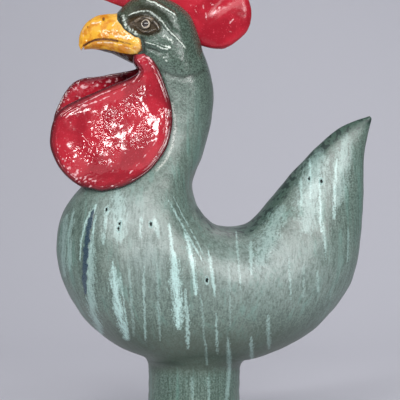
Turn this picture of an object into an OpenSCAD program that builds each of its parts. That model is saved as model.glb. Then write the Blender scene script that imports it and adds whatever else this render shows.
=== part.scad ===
// A pottery rooster on a hollow pedestal. Hollow sections of clay are joined rim to rim, and the
// comb, wattles, beak, eyes, lids and brows are laid on them.
// Millimetres. The bird looks towards -X and its left side faces -Y. The origin is on the
// pedestal's axis, in the plane that the foot stands on.

/* [Whole bird] */
// Length that the shares of the body are taken of, about wattle to tail tip
bird_l = 256; // [220:4:300]
// Height of the crown of the head over the table
crown_h = 352; // [310:4:400]
// Width across the breast
breast_w = 121; // [106:1:136]
// Thickness of the clay walls
wall = 6; // [4.5:0.5:7]

/* [Pedestal] */
// Height of the pedestal, up to its joint with the body
pedestal_h = 66; // [54:2:80]
// Diameter of the foot
foot_d = 102; // [92:1:116]
// Diameter of the stem
stem_d = 73; // [64:1:80]
// Width of the flange that stands out from the stem under the body
flange_w = 2.5; // [1.5:0.5:5]
// Height of the foot's upright edge
foot_edge = 7; // [5:0.5:9]
// Height of the flare from that edge to the stem
flare_h = 24; // [18:1:28]
// Height of the flange's upright edge
flange_edge = 1.5; // [1:0.25:3]
// Width of the ring that the foot stands on
foot_ring_w = 10; // [8:0.5:12]

/* [Vent] */
// Diameter of the firing vent through the body's floor
vent_d = 9; // [5:0.5:14]

/* [Beak] */
// Length of the beak, from the gape to the hooked tip
beak_l = 42; // [36:1:48]
// Height of the upper beak at its root
beak_h = 25; // [22:0.5:28]
// Width that the shares of the beak's width are taken of
beak_w = 29; // [24:1:33]
// Depth of the lower beak at its root
jaw_h = 12; // [9:0.5:14]
// Step of the upper beak over the lower one, at each side
lip = 0.8; // [0.4:0.1:1.2]

/* [Comb] */
// Length of the comb
comb_l = 126; // [112:2:140]
// Height of the comb over its root
comb_h = 53; // [42:1:64]
// Thickness of the comb
comb_t = 12; // [8:0.5:15]
// Depth of the notches between the lobes
notch_h = 11; // [6:0.5:14]

/* [Wattles] */
// Width of a wattle across its face
wattle_w = 98; // [88:2:108]
// Drop of a wattle from the gape
wattle_h = 112; // [100:2:122]
// Thickness of a wattle
wattle_t = 9; // [7:0.5:11]
// Distance between the middles of the two wattles at the back of the breast
wattle_spread = 84; // [80:1:92]

/* [Eyes] */
// Diameter of the eye pellet
eye_d = 7.6; // [6:0.2:9]
// Length of the eye from corner to corner
eye_l = 23; // [19:1:26]
// Height of the lids' opening
lid_h = 14; // [11:0.5:16]
// Thickness of the coils that make the lids
lid_t = 2.2; // [1.6:0.2:3]
// Length of the brow coil
brow_l = 41; // [34:1:46]
// Thickness of the brow coil
brow_t = 4; // [3:0.2:5]

/* [Hidden] */

left = -1;
right = 1;

// Sections round the trunk, and rings from one row of its table to the next
trunk_sides = 32;
trunk_step = 1 / 3;
slab_sides = 16;
beak_sides = 24;
beak_step = 1 / 2;
comb_step = 1 / 5;
wattle_step = 1 / 3;
brow_step = 1 / 4;
lid_steps = 14;
round_fn = 96;
// Halvings of the trunk's rows when a place on the head is looked for
halvings = 14;
// Fullness of the rounded edges of the slabs, where 2 is an ellipse
slab_fullness = 2.4;
// Thickness of a lid at the corners of the eye
lid_corner_share = 0.5;
coil_sides = 8;

// The smallest half width that a section may shrink to
thin = wall / 12;
// What a cut runs past a face
over = wall / 2;

rise = crown_h - pedestal_h;
stem_r = stem_d / 2;
foot_r = foot_d / 2;
flange_r = stem_r + flange_w;
bore_r = stem_r - wall;

// The trunk, one row a section. First the point on the back and the point on the breast or
// belly, x as a share of bird_l and z as a share of the rise over the pedestal. Then the half
// width as a share of breast_w, and the fullness of the superellipse: 2 is an ellipse.
// The rows run from the tail tip along the saddle, up the neck and over the head to the beak.
trunk_shares = [
  [0.548, 0.677, 0.556, 0.667, 0.015, 2],
  [0.45, 0.64, 0.532, 0.561, 0.062, 2],
  [0.341, 0.551, 0.527, 0.407, 0.14, 2],
  [0.244, 0.449, 0.494, 0.225, 0.25, 2.1],
  [0.163, 0.375, 0.369, 0.077, 0.37, 2.2],
  [0.081, 0.369, 0.175, -0.003, 0.46, 2.45],
  [0.041, 0.39, -0.055, -0.031, 0.495, 2.55],
  [0.019, 0.414, -0.159, 0.007, 0.503, 2.5],
  [0.005, 0.438, -0.248, 0.041, 0.503, 2.4],
  [-0.005, 0.485, -0.356, 0.126, 0.485, 2.25],
  [0.006, 0.522, -0.425, 0.264, 0.43, 2.1],
  [0.022, 0.555, -0.412, 0.399, 0.355, 2.1],
  [0.034, 0.589, -0.325, 0.5, 0.28, 2.1],
  [0.045, 0.627, -0.235, 0.563, 0.236, 2.1],
  [0.055, 0.67, -0.181, 0.633, 0.214, 2.1],
  [0.063, 0.729, -0.163, 0.72, 0.203, 2.1],
  [0.055, 0.792, -0.164, 0.779, 0.2, 2.1],
  [0.031, 0.853, -0.178, 0.808, 0.208, 2.1],
  [-0.019, 0.962, -0.191, 0.824, 0.199, 2.2],
  [-0.106, 1.008, -0.2, 0.832, 0.17, 2.2],
  [-0.188, 1.004, -0.213, 0.838, 0.135, 2.2],
  [-0.24, 0.965, -0.231, 0.855, 0.09, 2.2]
];

// Row numbers of the joints between the hollow sections, and where their hollows end
tail_tip_row = 0;
tail_hollow_row = 1;
tail_joint_row = 4;
neck_joint_row = 12;
head_joint_row = 16;
head_hollow_row = 20;
head_front_row = 21;
// The wattles reach down to this row of the body
wattle_reach_row = 9;

// Places on the head, x as a share of bird_l and z as a share of the rise
beak_root_share = [-0.197, 0.874];
comb_root_share = [-0.15, 0.972];
wattle_root_share = [-0.172, 0.855];
eye_share = [-0.148, 0.925];
eye_middle_share = [-0.154, 0.923];

// The beak, one row a section. First the point on the mouth line, x as a share of beak_l and z
// as a share of beak_h, then the ridge of the upper beak in the same shares, then the keel of
// the lower beak with z as a share of jaw_h, and last the half width as a share of beak_w.
beak_shares = [
  [0.229, -0.097, 0.095, 1.19, 0.286, -1.4, 0.7],
  [0.019, -0.042, -0.133, 1.065, 0.057, -1.267, 0.61],
  [-0.19, 0.077, -0.324, 1.016, -0.171, -0.9, 0.51],
  [-0.4, 0.174, -0.514, 0.984, -0.362, -0.567, 0.44],
  [-0.61, 0.168, -0.695, 0.9, -0.571, -0.36, 0.36],
  [-0.771, 0.071, -0.855, 0.705, -0.752, -0.28, 0.27],
  [-0.886, -0.048, -0.966, 0.39, -0.886, -0.307, 0.18],
  [-0.952, -0.161, -1, 0, -0.952, -0.333, 0.09]
];
lower_beak_end_row = 6;
// Fullness of the beak's section, a little under an ellipse so that the ridge is narrow
beak_fullness = 1.5;

// The comb, one row a section: a point on its lower edge, a point on the line that the tips
// of its lobes touch, x as a share of comb_l and z as a share of comb_h, and the half
// thickness as a share of comb_t.
comb_shares = [
  [-0.327, 0.33, -0.327, 0.37, 0.08],
  [-0.304, 0.197, -0.291, 0.606, 0.42],
  [-0.234, 0.12, -0.209, 0.803, 0.5],
  [-0.152, 0.045, -0.082, 0.939, 0.5],
  [-0.057, -0.045, 0.063, 1, 0.5],
  [0.038, -0.03, 0.215, 0.985, 0.5],
  [0.127, -0.106, 0.367, 0.879, 0.5],
  [0.203, -0.242, 0.506, 0.667, 0.5],
  [0.259, -0.394, 0.614, 0.348, 0.5],
  [0.316, -0.5, 0.668, 0.015, 0.5],
  [0.373, -0.553, 0.646, -0.303, 0.48],
  [0.424, -0.583, 0.563, -0.5, 0.4],
  [0.48, -0.59, 0.5, -0.58, 0.08]
];
// Rows of the first and the last notch, and how many notches lie along the comb
first_notch_row = 2.4;
last_notch_row = 7.8;
notch_count = 4;
notch_sharpness = 8;

// A wattle, one row a section from the gape down: the point on its front edge and the point on
// its back edge, x as a share of wattle_w and z as a share of wattle_h, the distance of
// each from the middle plane as a share of wattle_spread, and the half thickness as a share of
// wattle_t. The right wattle was cut a little higher along its front edge than the left one.
left_wattle_shares = [
  [-0.038, -0.038, 0.079, -0.027, 0.19, 0.21, 0.2],
  [-0.043, -0.084, 0.137, -0.089, 0.16, 0.25, 0.5],
  [-0.008, -0.162, 0.19, -0.185, 0.11, 0.3, 0.5],
  [-0.217, -0.241, 0.245, -0.32, 0.06, 0.335, 0.5],
  [-0.49, -0.342, 0.276, -0.429, 0.06, 0.345, 0.5],
  [-0.665, -0.448, 0.276, -0.557, 0.06, 0.365, 0.5],
  [-0.722, -0.637, 0.232, -0.693, 0.06, 0.4, 0.5],
  [-0.659, -0.807, 0.13, -0.829, 0.1, 0.455, 0.5],
  [-0.545, -0.914, 0.008, -0.914, 0.2, 0.51, 0.5],
  [-0.44, -0.966, -0.11, -0.968, 0.34, 0.51, 0.45],
  [-0.3, -0.995, -0.26, -0.997, 0.44, 0.46, 0.2]
];
right_wattle_shares = [
  [-0.038, -0.038, 0.079, -0.027, 0.19, 0.21, 0.2],
  [-0.043, -0.084, 0.137, -0.089, 0.16, 0.25, 0.5],
  [-0.041, -0.121, 0.19, -0.185, 0.11, 0.3, 0.5],
  [-0.26, -0.162, 0.245, -0.32, 0.06, 0.335, 0.5],
  [-0.531, -0.212, 0.276, -0.429, 0.06, 0.345, 0.5],
  [-0.671, -0.393, 0.276, -0.557, 0.06, 0.365, 0.5],
  [-0.711, -0.586, 0.232, -0.693, 0.06, 0.4, 0.5],
  [-0.667, -0.786, 0.13, -0.829, 0.1, 0.455, 0.5],
  [-0.545, -0.914, 0.008, -0.914, 0.2, 0.51, 0.5],
  [-0.44, -0.966, -0.11, -0.968, 0.34, 0.51, 0.45],
  [-0.3, -0.995, -0.26, -0.997, 0.44, 0.46, 0.2]
];

// The brow's line from the beak, over the eye and down behind it, as shares of brow_l from the
// eye, and its half thickness as a share of brow_t
brow_shares = [
  [-0.37, 0.09, 0.3],
  [-0.12, 0.2, 0.5],
  [0.14, 0.18, 0.5],
  [0.37, -0.04, 0.42],
  [0.62, -0.38, 0.15]
];

// Point of the side view at a share of the length and of the rise
function bird_at(share) = [share[0] * bird_l, pedestal_h + share[1] * rise];

// Row number s of a table, which need not be whole, on a smooth curve through its rows
function row_at(rows, s) =
  let (
    last = len(rows) - 1,
    i = min(max(floor(s), 0), last - 1),
    t = s - i,
    a = rows[max(i - 1, 0)],
    b = rows[i],
    c = rows[i + 1],
    d = rows[min(i + 2, last)]
  )
  b + t / 2 * (c - a + t * (2 * a - 5 * b + 4 * c - d + t * (3 * (b - c) + d - a)));

// Row numbers from one to another
function stations(first, last, step) =
  let (count = round((last - first) / step))
  [for (i = [0 : count]) first + (last - first) * i / count];

// A cosine or sine drawn out to a superellipse
function swell(v, fullness) = sign(v) * pow(abs(v), 2 / fullness);

// The two ends of a trunk section in the side view, its half width and its fullness
function trunk_row(s) =
  let (row = row_at(trunk_shares, s))
  [bird_at([row[0], row[1]]), bird_at([row[2], row[3]]), row[4] * breast_w, row[5]];

// A ring of the trunk, drawn in by an inset. It is cut off level where the body stands on
// the pedestal.
function trunk_ring(s, inset) =
  let (
    row = trunk_row(s),
    middle = (row[0] + row[1]) / 2,
    half = (row[1] - row[0]) / 2,
    reach = max(norm(half) - inset, thin),
    width = max(row[2] - inset, thin),
    way = half / norm(half)
  )
  [for (k = [0 : trunk_sides - 1])
    let (
      turn = 360 * k / trunk_sides,
      c = swell(cos(turn), row[3]) * reach
    )
    [middle[0] + way[0] * c, swell(sin(turn), row[3]) * width,
      max(middle[1] + way[1] * c, pedestal_h + inset)]];

function trunk_rings(first, last, inset) =
  [for (s = stations(first, last, trunk_step)) trunk_ring(s, inset)];

// How far the side-view point lies in front of section s, towards the next one
function ahead(point, s) =
  let (
    row = trunk_row(s),
    way = row[1] - row[0],
    from = point - row[0]
  )
  from[0] * way[1] - from[1] * way[0];

// The section that runs through a side-view point, found by halving
function section_of(point, low, high, left_over) =
  let (middle = (low + high) / 2)
  left_over == 0 ? middle
    : ahead(point, middle) * ahead(point, high) > 0
      ? section_of(point, low, middle, left_over - 1)
      : section_of(point, middle, high, left_over - 1);

// Half width of the head where a side-view point lies on it
function head_half_width(point) =
  let (
    row = trunk_row(section_of(point, head_joint_row, head_front_row, halvings)),
    middle = (row[0] + row[1]) / 2,
    reach = norm(row[1] - row[0]) / 2,
    off = min(norm(point - middle) / reach, 1)
  )
  row[2] * pow(1 - pow(off, row[3]), 1 / row[3]);

// Point on the skin of the head over a side-view point
function on_head(point, side) = [point[0], side * head_half_width(point), point[1]];

// Middle of a ring
function centre(ring) =
  [for (axis = [0 : 2]) [for (p = ring) p[axis]] * [for (p = ring) 1] / len(ring)];

// Triangles between rings, whose points are numbered from start
function skin_faces(rings, sides, start) =
  [for (i = [0 : rings - 2], k = [0 : sides - 1])
    let (
      a = start + i * sides + k,
      b = start + i * sides + (k + 1) % sides
    )
    each [[a, b, b + sides], [a, b + sides, a + sides]]];

// Triangles from a ring to one point
function cap_faces(start, sides, pole) =
  [for (k = [0 : sides - 1]) [start + (k + 1) % sides, start + k, pole]];

// Triangles between two rings that lie in one plane
function rim_faces(outer, inner, sides) =
  [for (k = [0 : sides - 1])
    let (n = (k + 1) % sides)
    each [[outer + n, outer + k, inner + k], [outer + n, inner + k, inner + n]]];

function turned(faces) = [for (f = faces) [f[2], f[1], f[0]]];

// Whether the points of the rings go round to the left, seen the way that the rings follow
// each other. It says which way the triangles face.
function goes_left(rings) =
  let (
    m = floor(len(rings) / 2),
    ring = rings[m],
    middle = centre(ring),
    way = centre(rings[m + 1]) - centre(rings[m - 1]),
    quarter = floor(len(ring) / 4)
  )
  cross(ring[0] - middle, ring[quarter] - middle) * way > 0;

// A closed solid through rings
module loft(rings) {
  sides = len(rings[0]);
  count = len(rings);
  points = [for (ring = rings) each ring];
  faces = concat(
    skin_faces(count, sides, 0),
    cap_faces(0, sides, len(points)),
    turned(cap_faces((count - 1) * sides, sides, len(points) + 1)));
  polyhedron(
    points = concat(points, [centre(rings[0]), centre(rings[count - 1])]),
    faces = goes_left(rings) ? turned(faces) : faces,
    convexity = 6);
}

// A hollow section. Each end is an open rim, or closed where its hollow stops short of it.
module hollow(outer, inner, open_start, open_end) {
  sides = len(outer[0]);
  points = concat([for (ring = outer) each ring], [for (ring = inner) each ring]);
  inner_start = len(outer) * sides;
  outer_last = inner_start - sides;
  inner_last = len(points) - sides;
  poles = [centre(outer[0]), centre(inner[0]), centre(outer[len(outer) - 1]),
    centre(inner[len(inner) - 1])];
  start_faces = open_start
    ? rim_faces(0, inner_start, sides)
    : concat(cap_faces(0, sides, len(points)),
        turned(cap_faces(inner_start, sides, len(points) + 1)));
  end_pole = len(points) + (open_start ? 0 : 2);
  end_faces = open_end
    ? turned(rim_faces(outer_last, inner_last, sides))
    : concat(turned(cap_faces(outer_last, sides, end_pole)),
        cap_faces(inner_last, sides, end_pole + 1));
  used_poles = concat(open_start ? [] : [poles[0], poles[1]], open_end ? [] : [poles[2], poles[3]]);
  faces = concat(
    skin_faces(len(outer), sides, 0),
    turned(skin_faces(len(inner), sides, inner_start)),
    start_faces,
    end_faces);
  polyhedron(
    points = concat(points, used_poles),
    faces = goes_left(outer) ? turned(faces) : faces,
    convexity = 10);
}

// The trunk without its hollow, between two rows: what the pieces laid on it are cut to fit
module trunk_block(first, last) {
  loft(trunk_rings(first, last, 0));
}

// A ring of a half-round bar: flat along the mouth line, arched to the ridge or keel
function beak_ring(mouth, crest, half_width) =
  [for (k = [0 : beak_sides - 1])
    let (
      turn = 360 * k / beak_sides,
      arch = max(sin(turn), 0)
    )
    [mouth[0] + (crest[0] - mouth[0]) * arch, half_width * swell(cos(turn), beak_fullness),
      mouth[1] + (crest[1] - mouth[1]) * arch]];

function beak_point(x_share, height) =
  bird_at(beak_root_share) + [x_share * beak_l, height];

function beak_rings(last, upper) =
  [for (s = stations(0, last, beak_step))
    let (
      row = row_at(beak_shares, s),
      mouth = beak_point(row[0], row[1] * beak_h),
      crest = upper ? beak_point(row[2], row[3] * beak_h) : beak_point(row[4], row[5] * jaw_h),
      half_width = row[6] * beak_w - (upper ? 0 : lip)
    )
    beak_ring(mouth, crest, half_width)];

// How deep the comb's edge is notched at row s
function notch_at(s) =
  let (
    pitch = (last_notch_row - first_notch_row) / (notch_count - 1),
    place = (s - first_notch_row) / pitch
  )
  place < -1 / 2 || place > notch_count - 1 / 2 ? 0
    : notch_h * pow(abs(cos(180 * place)), notch_sharpness);

// A ring of the comb between its root and its notched edge
function comb_ring(s) =
  let (
    row = row_at(comb_shares, s),
    origin = bird_at(comb_root_share),
    root = origin + [row[0] * comb_l, row[1] * comb_h],
    tip = origin + [row[2] * comb_l, row[3] * comb_h],
    way = (tip - root) / norm(tip - root),
    edge = tip - way * notch_at(s),
    middle = (root + edge) / 2,
    half = (edge - root) / 2
  )
  [for (k = [0 : slab_sides - 1])
    let (turn = 360 * k / slab_sides)
    [middle[0] + half[0] * swell(cos(turn), slab_fullness),
      comb_t * row[4] * swell(sin(turn), slab_fullness),
      middle[1] + half[1] * swell(cos(turn), slab_fullness)]];

// A ring of a wattle, between its front edge and its back edge
function wattle_ring(rows, s, side) =
  let (
    row = row_at(rows, s),
    origin = bird_at(wattle_root_share),
    front = origin + [row[0] * wattle_w, row[1] * wattle_h],
    back = origin + [row[2] * wattle_w, row[3] * wattle_h],
    front_y = row[4] * wattle_spread,
    back_y = row[5] * wattle_spread
  )
  [for (k = [0 : slab_sides - 1])
    let (
      turn = 360 * k / slab_sides,
      across = (1 - swell(cos(turn), slab_fullness)) / 2,
      place = front + (back - front) * across,
      level = front_y + (back_y - front_y) * across
    )
    [place[0], side * (level + wattle_t * row[6] * swell(sin(turn), slab_fullness)), place[1]]];

// A coil of clay along a path, with its half thickness at each point of the path
module coil(path, radii) {
  count = len(path);
  rings = [for (i = [0 : count - 1])
    let (
      way = path[min(i + 1, count - 1)] - path[max(i - 1, 0)],
      across = cross(way, [0, 1, 0]) / norm(cross(way, [0, 1, 0]))
    )
    [for (k = [0 : coil_sides - 1])
      let (turn = 360 * k / coil_sides)
      path[i] + radii[i] * (across * cos(turn) + [0, 1, 0] * sin(turn))]];
  loft(rings);
}

// The pedestal: a thrown tube with a flange at the top and a flared foot
module pedestal() {
  flare_w = foot_r - stem_r;
  flare_r = (flare_w * flare_w + flare_h * flare_h) / (2 * flare_w);
  flare_z = foot_edge + flare_h;
  color("#76857e")
    rotate_extrude($fn = round_fn)
      difference() {
        union() {
          square([stem_r, pedestal_h]);
          difference() {
            translate([0, pedestal_h - flange_edge - flange_w])
              square([flange_r, flange_edge + flange_w]);
            translate([flange_r, pedestal_h - flange_edge - flange_w])
              circle(r = flange_w, $fn = round_fn);
          }
          difference() {
            square([foot_r, flare_z]);
            translate([stem_r + flare_r, flare_z])
              circle(r = flare_r, $fn = round_fn);
          }
        }
        translate([0, -over])
          square([bore_r, pedestal_h + 2 * over]);
        difference() {
          translate([0, -over])
            square([foot_r - foot_ring_w, flare_z + over]);
          translate([stem_r + flare_r, flare_z])
            circle(r = flare_r + wall, $fn = round_fn);
        }
      }
}

module body() {
  color("#7c8a85")
    difference() {
      hollow(
        trunk_rings(tail_joint_row, neck_joint_row, 0),
        trunk_rings(tail_joint_row, neck_joint_row, wall), true, true);
      translate([0, 0, pedestal_h - over])
        cylinder(d = vent_d, h = wall + 2 * over, $fn = round_fn);
    }
}

module tail() {
  color("#8b9a95")
    hollow(
      trunk_rings(tail_tip_row, tail_joint_row, 0),
      trunk_rings(tail_hollow_row, tail_joint_row, wall), false, true);
}

module neck() {
  color("#6d7971")
    hollow(
      trunk_rings(neck_joint_row, head_joint_row, 0),
      trunk_rings(neck_joint_row, head_joint_row, wall), true, true);
}

module head() {
  color("#4f5a52")
    difference() {
      hollow(
        trunk_rings(head_joint_row, head_front_row, 0),
        trunk_rings(head_joint_row, head_hollow_row, wall), true, false);
      for (side = [left, right])
        eye_ball(side);
    }
}

module upper_beak() {
  color("#e3ab59")
    difference() {
      loft(beak_rings(len(beak_shares) - 1, true));
      trunk_block(head_joint_row, head_front_row);
    }
}

module lower_beak() {
  color("#d89a48")
    difference() {
      loft(beak_rings(lower_beak_end_row, false));
      trunk_block(head_joint_row, head_front_row);
    }
}

module comb() {
  color("#c03f4b")
    difference() {
      loft([for (s = stations(0, len(comb_shares) - 1, comb_step)) comb_ring(s)]);
      trunk_block(head_joint_row, head_front_row);
    }
}

module wattle(rows, side) {
  color("#c64956")
    difference() {
      loft([for (s = stations(0, len(rows) - 1, wattle_step)) wattle_ring(rows, s, side)]);
      trunk_block(wattle_reach_row, head_front_row);
      loft(beak_rings(lower_beak_end_row, false));
    }
}

// An eye pellet, half sunk in its socket in the head
module eye_ball(side) {
  translate(on_head(bird_at(eye_share), side))
    sphere(d = eye_d, $fn = round_fn);
}

module eye(side) {
  color("#3a332b")
    eye_ball(side);
}

// A coil laid on the head along points of the side view
module laid_coil(points, radii, side) {
  difference() {
    coil([for (p = points) on_head(p, side)], radii);
    trunk_block(head_joint_row, head_front_row);
    loft(beak_rings(len(beak_shares) - 1, true));
    eye_ball(side);
  }
}

// One lid: a coil from corner to corner of the eye, above or below the pellet
module lid(side, way) {
  middle = bird_at(eye_middle_share);
  turns = [for (i = [0 : lid_steps]) 180 * i / lid_steps];
  color("#59604f")
    laid_coil(
      [for (turn = turns) middle + [-cos(turn) * eye_l, way * sin(turn) * lid_h] / 2],
      [for (turn = turns) lid_t / 2 * (lid_corner_share + (1 - lid_corner_share) * sin(turn))],
      side);
}

module brow(side) {
  rows = [for (s = stations(0, len(brow_shares) - 1, brow_step)) row_at(brow_shares, s)];
  color("#5d6a61")
    laid_coil(
      [for (row = rows) bird_at(eye_share) + [row[0], row[1]] * brow_l],
      [for (row = rows) row[2] * brow_t],
      side);
}

pedestal();
body();
tail();
neck();
head();
upper_beak();
lower_beak();
comb();
wattle(left_wattle_shares, left);  // left_wattle
wattle(right_wattle_shares, right);  // right_wattle
eye(left);  // left_eye
eye(right);  // right_eye
brow(left);  // left_brow
brow(right);  // right_brow
lid(left, 1);  // left_upper_lid
lid(right, 1);  // right_upper_lid
lid(left, -1);  // left_lower_lid
lid(right, -1);  // right_lower_lid
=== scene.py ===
# %% [markdown]
# # A pottery rooster in green, red and yellow glaze
# The real figure is hand-built. Hollow sections of clay make the trunk, a thrown pedestal carries
# it, and comb, wattles, beak, eyes and brows are slabs, bars and coils laid on it. The packed
# model holds those pieces at their true size. This lesson works each of them out again as a
# fine, slightly uneven surface, and then glazes it.

# %% Load the frame
import math

import bpy
import numpy as np
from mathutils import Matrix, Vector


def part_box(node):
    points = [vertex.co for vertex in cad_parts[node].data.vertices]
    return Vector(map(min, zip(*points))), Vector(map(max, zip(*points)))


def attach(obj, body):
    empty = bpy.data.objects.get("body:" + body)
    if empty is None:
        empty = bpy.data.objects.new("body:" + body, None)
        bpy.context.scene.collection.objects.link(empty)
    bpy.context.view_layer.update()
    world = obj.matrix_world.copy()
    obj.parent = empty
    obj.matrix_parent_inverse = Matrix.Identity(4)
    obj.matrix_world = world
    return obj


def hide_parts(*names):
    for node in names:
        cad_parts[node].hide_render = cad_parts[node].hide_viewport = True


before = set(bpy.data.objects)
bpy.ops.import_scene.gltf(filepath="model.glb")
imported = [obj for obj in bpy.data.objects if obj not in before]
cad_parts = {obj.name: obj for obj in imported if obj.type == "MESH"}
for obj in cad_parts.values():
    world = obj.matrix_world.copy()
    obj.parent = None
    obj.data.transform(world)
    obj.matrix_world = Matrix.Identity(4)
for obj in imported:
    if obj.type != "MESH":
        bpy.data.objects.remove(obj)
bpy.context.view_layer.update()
print("nodes in the frame:", len(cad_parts))

# %% [markdown]
# ## Sizes
# The trunk is written as a table of shares, so that one set of driving sizes places everything.
# The pedestal's height and the width of its foot come from the frame. The others are the sizes
# that a potter would mark on a board.

# %% Driving sizes, in metres
MM = 0.001
PEDESTAL_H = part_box("pedestal")[1].z
FOOT_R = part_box("pedestal")[1].x
STEM_R = 36.5 * MM
BIRD_L = 256 * MM
CROWN_H = 352 * MM
BREAST_W = 121 * MM
WALL = 6 * MM
THIN = WALL / 12
RISE = CROWN_H - PEDESTAL_H
LEFT = -1
RIGHT = 1
SIDES = [(LEFT, "left"), (RIGHT, "right")]
print(f"pedestal {PEDESTAL_H / MM:.1f} mm high, foot {2 * FOOT_R / MM:.1f} mm wide")

# %% [markdown]
# ## Where a point shows in the photograph
# Some marks, such as a run of glaze, are known by their place in the picture. A point is taken
# to that picture by the camera's own perspective: a level view along +Y from 1.2 metres. The
# right side of the bird is read as if it were the left one, so a mark lands on both.

# %% From a point to its place in the photograph
PX = 0.8 * MM
VIEW_DISTANCE = 1200 * MM
VIEW_X = 4.8 * MM
VIEW_Z = 192 * MM
FRAME_MIDDLE = 200


def join(*parts):
    """Arrays side by side, as the last axis of one array."""
    return np.stack(np.broadcast_arrays(*parts), axis=-1)


def seen(points):
    """Column and row of each point in the photograph, from its offset from the line of sight
    over its distance from the lens."""
    depth = 1 - np.abs(points[..., 1]) / VIEW_DISTANCE
    column = FRAME_MIDDLE + (points[..., 0] - VIEW_X) / PX / depth
    row = FRAME_MIDDLE - (points[..., 2] - VIEW_Z) / PX / depth
    return join(column, row)


def side_view(pixels, width):
    """The x and z of a point that shows at a pixel and lies at a distance `width` from the
    middle plane."""
    depth = 1 - width / VIEW_DISTANCE
    x = VIEW_X + (pixels[..., 0] - FRAME_MIDDLE) * PX * depth
    z = VIEW_Z - (pixels[..., 1] - FRAME_MIDDLE) * PX * depth
    return x, z


print("the pedestal's axis shows at column", seen(np.zeros(3))[0])

# %% [markdown]
# ## Grids into meshes
# Every piece here is a grid: rings of points, one after another. It could be built with bmesh
# face by face, but whole arrays are quicker and easier to check. A ring grid closes round each
# ring, and it ends in two poles or closes on itself like a tyre.

# %% Ring grids
def bands(count, sides, closed):
    """Quads between each ring and the next, as a grid of corner numbers."""
    i = np.arange(count if closed else count - 1)[:, None]
    k = np.arange(sides)[None, :]
    j = (i + 1) % count
    n = (k + 1) % sides
    return join(i * sides + k, i * sides + n, j * sides + n, j * sides + k).reshape(-1, 4)


def pole_fans(count, sides):
    """Triangles that close the first and the last ring, each to a pole."""
    k = np.arange(sides)
    n = (k + 1) % sides
    last = (count - 1) * sides
    pole = count * sides
    return np.concatenate([join(n, k, pole), join(last + k, last + n, pole + 1)])


def volume_of(points, quads):
    """Signed volume under the quads: the sum of the tetrahedra from the origin to their halves."""
    a, b, c, d = (points[quads[:, corner]] for corner in range(4))
    return (np.cross(a, b) * c + np.cross(a, c) * d).sum() / 6


def smooth_mesh(name, points, faces):
    """A mesh of points and lists of corner numbers, shaded smooth."""
    mesh = bpy.data.meshes.new(name)
    mesh.from_pydata(points.tolist(), [], faces)
    mesh.shade_smooth()
    return mesh


def added(name, data):
    """A mesh, lamp or camera put into the scene as an object."""
    made = bpy.data.objects.new(name, data)
    bpy.context.scene.collection.objects.link(made)
    return made


def mark_sharp(mesh, count, sides, sharp):
    """Marks the edges that run along the listed rings as sharp."""
    ends = np.empty(2 * len(mesh.edges), np.int32)
    mesh.edges.foreach_get("vertices", ends)
    ring = ends.reshape(-1, 2) // sides
    along = (ring[:, 0] == ring[:, 1]) & (ring[:, 0] < count)
    flags = along & np.isin(ring[:, 0], [r % count for r in sharp])
    mesh.attributes.new("sharp_edge", "BOOLEAN", "EDGE").data.foreach_set("value", flags)


def ring_piece(name, rings, closed=False, sharp=()):
    """A closed mesh through rings of points (count, sides, 3), with its faces outwards.
    `sharp` lists the rings along which the surface has an edge."""
    count, sides = rings.shape[:2]
    points = rings.reshape(-1, 3)
    quads = bands(count, sides, closed)
    fans = np.empty((0, 3), int)
    if not closed:
        points = np.concatenate([points, [rings[0].mean(axis=0), rings[-1].mean(axis=0)]])
        fans = pole_fans(count, sides)
    if volume_of(points, quads) < 0:
        quads = quads[:, ::-1]
        fans = fans[:, ::-1]
    mesh = smooth_mesh(name, points, quads.tolist() + fans.tolist())
    if sharp:
        mark_sharp(mesh, count, sides, sharp)
    print(f"{name}: {count} rings of {sides}, {len(mesh.polygons)} faces")
    return added(name, mesh)


# %% What a piece keeps for its glaze
def coordinates(piece):
    """All vertices of a piece as an array (count, 3)."""
    flat = np.empty(3 * len(piece.data.vertices), np.float32)
    piece.data.vertices.foreach_get("co", flat)
    return flat.reshape(-1, 3).astype(float)


def note(piece, **values):
    """Keeps a number or a vector for each vertex under each name, for the glaze to read."""
    for name, value in values.items():
        vectors = np.ndim(value) == 2
        kind, field = ("FLOAT_VECTOR", "vector") if vectors else ("FLOAT", "value")
        made = piece.data.attributes.new(name, kind, "POINT")
        flat = np.ravel(value) if vectors else np.broadcast_to(value, len(made.data))
        made.data.foreach_set(field, np.ascontiguousarray(flat, np.float32))


# %% [markdown]
# ## Curves, soft steps and uneven clay
# A table row is a section of a piece, and a smooth curve through the rows gives the sections
# between them. Hands leave clay uneven, so a sum of slow waves in random directions is added
# along the surface's own normals. The seed is fixed, so the figure is the same in every run.

# %% Curves and soft steps
TINY = 1e-12


def row_at(rows, s):
    """Row number s of a table, which need not be whole, on a Catmull-Rom curve."""
    rows = np.asarray(rows, float)
    s = np.asarray(s, float)
    last = len(rows) - 1
    i = np.clip(np.floor(s).astype(int), 0, last - 1)
    t = (s - i)[..., None]
    a = rows[np.maximum(i - 1, 0)]
    b = rows[i]
    c = rows[i + 1]
    d = rows[np.minimum(i + 2, last)]
    return b + t / 2 * (c - a + t * (2 * a - 5 * b + 4 * c - d + t * (3 * (b - c) + d - a)))


def swell(value, fullness):
    """A cosine or sine drawn out to a superellipse: its sign times its power 2 / fullness."""
    return np.sign(value) * np.abs(value) ** (2 / fullness)


def soft_step(value, low, high):
    """0 below low, 1 above high, and 3t^2 - 2t^3 between them."""
    t = np.clip((value - low) / (high - low), 0, 1)
    return t * t * (3 - 2 * t)


def bell(value, half_width):
    """A hump of height 1 that dies out as exp of minus the square."""
    return np.exp(-(value / half_width) ** 2)


def spot(places, middle, half_size):
    """A bell round a middle, by the distance in half widths of the spot."""
    return bell(np.linalg.norm((places - middle) / half_size, axis=-1), 1)


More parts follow.
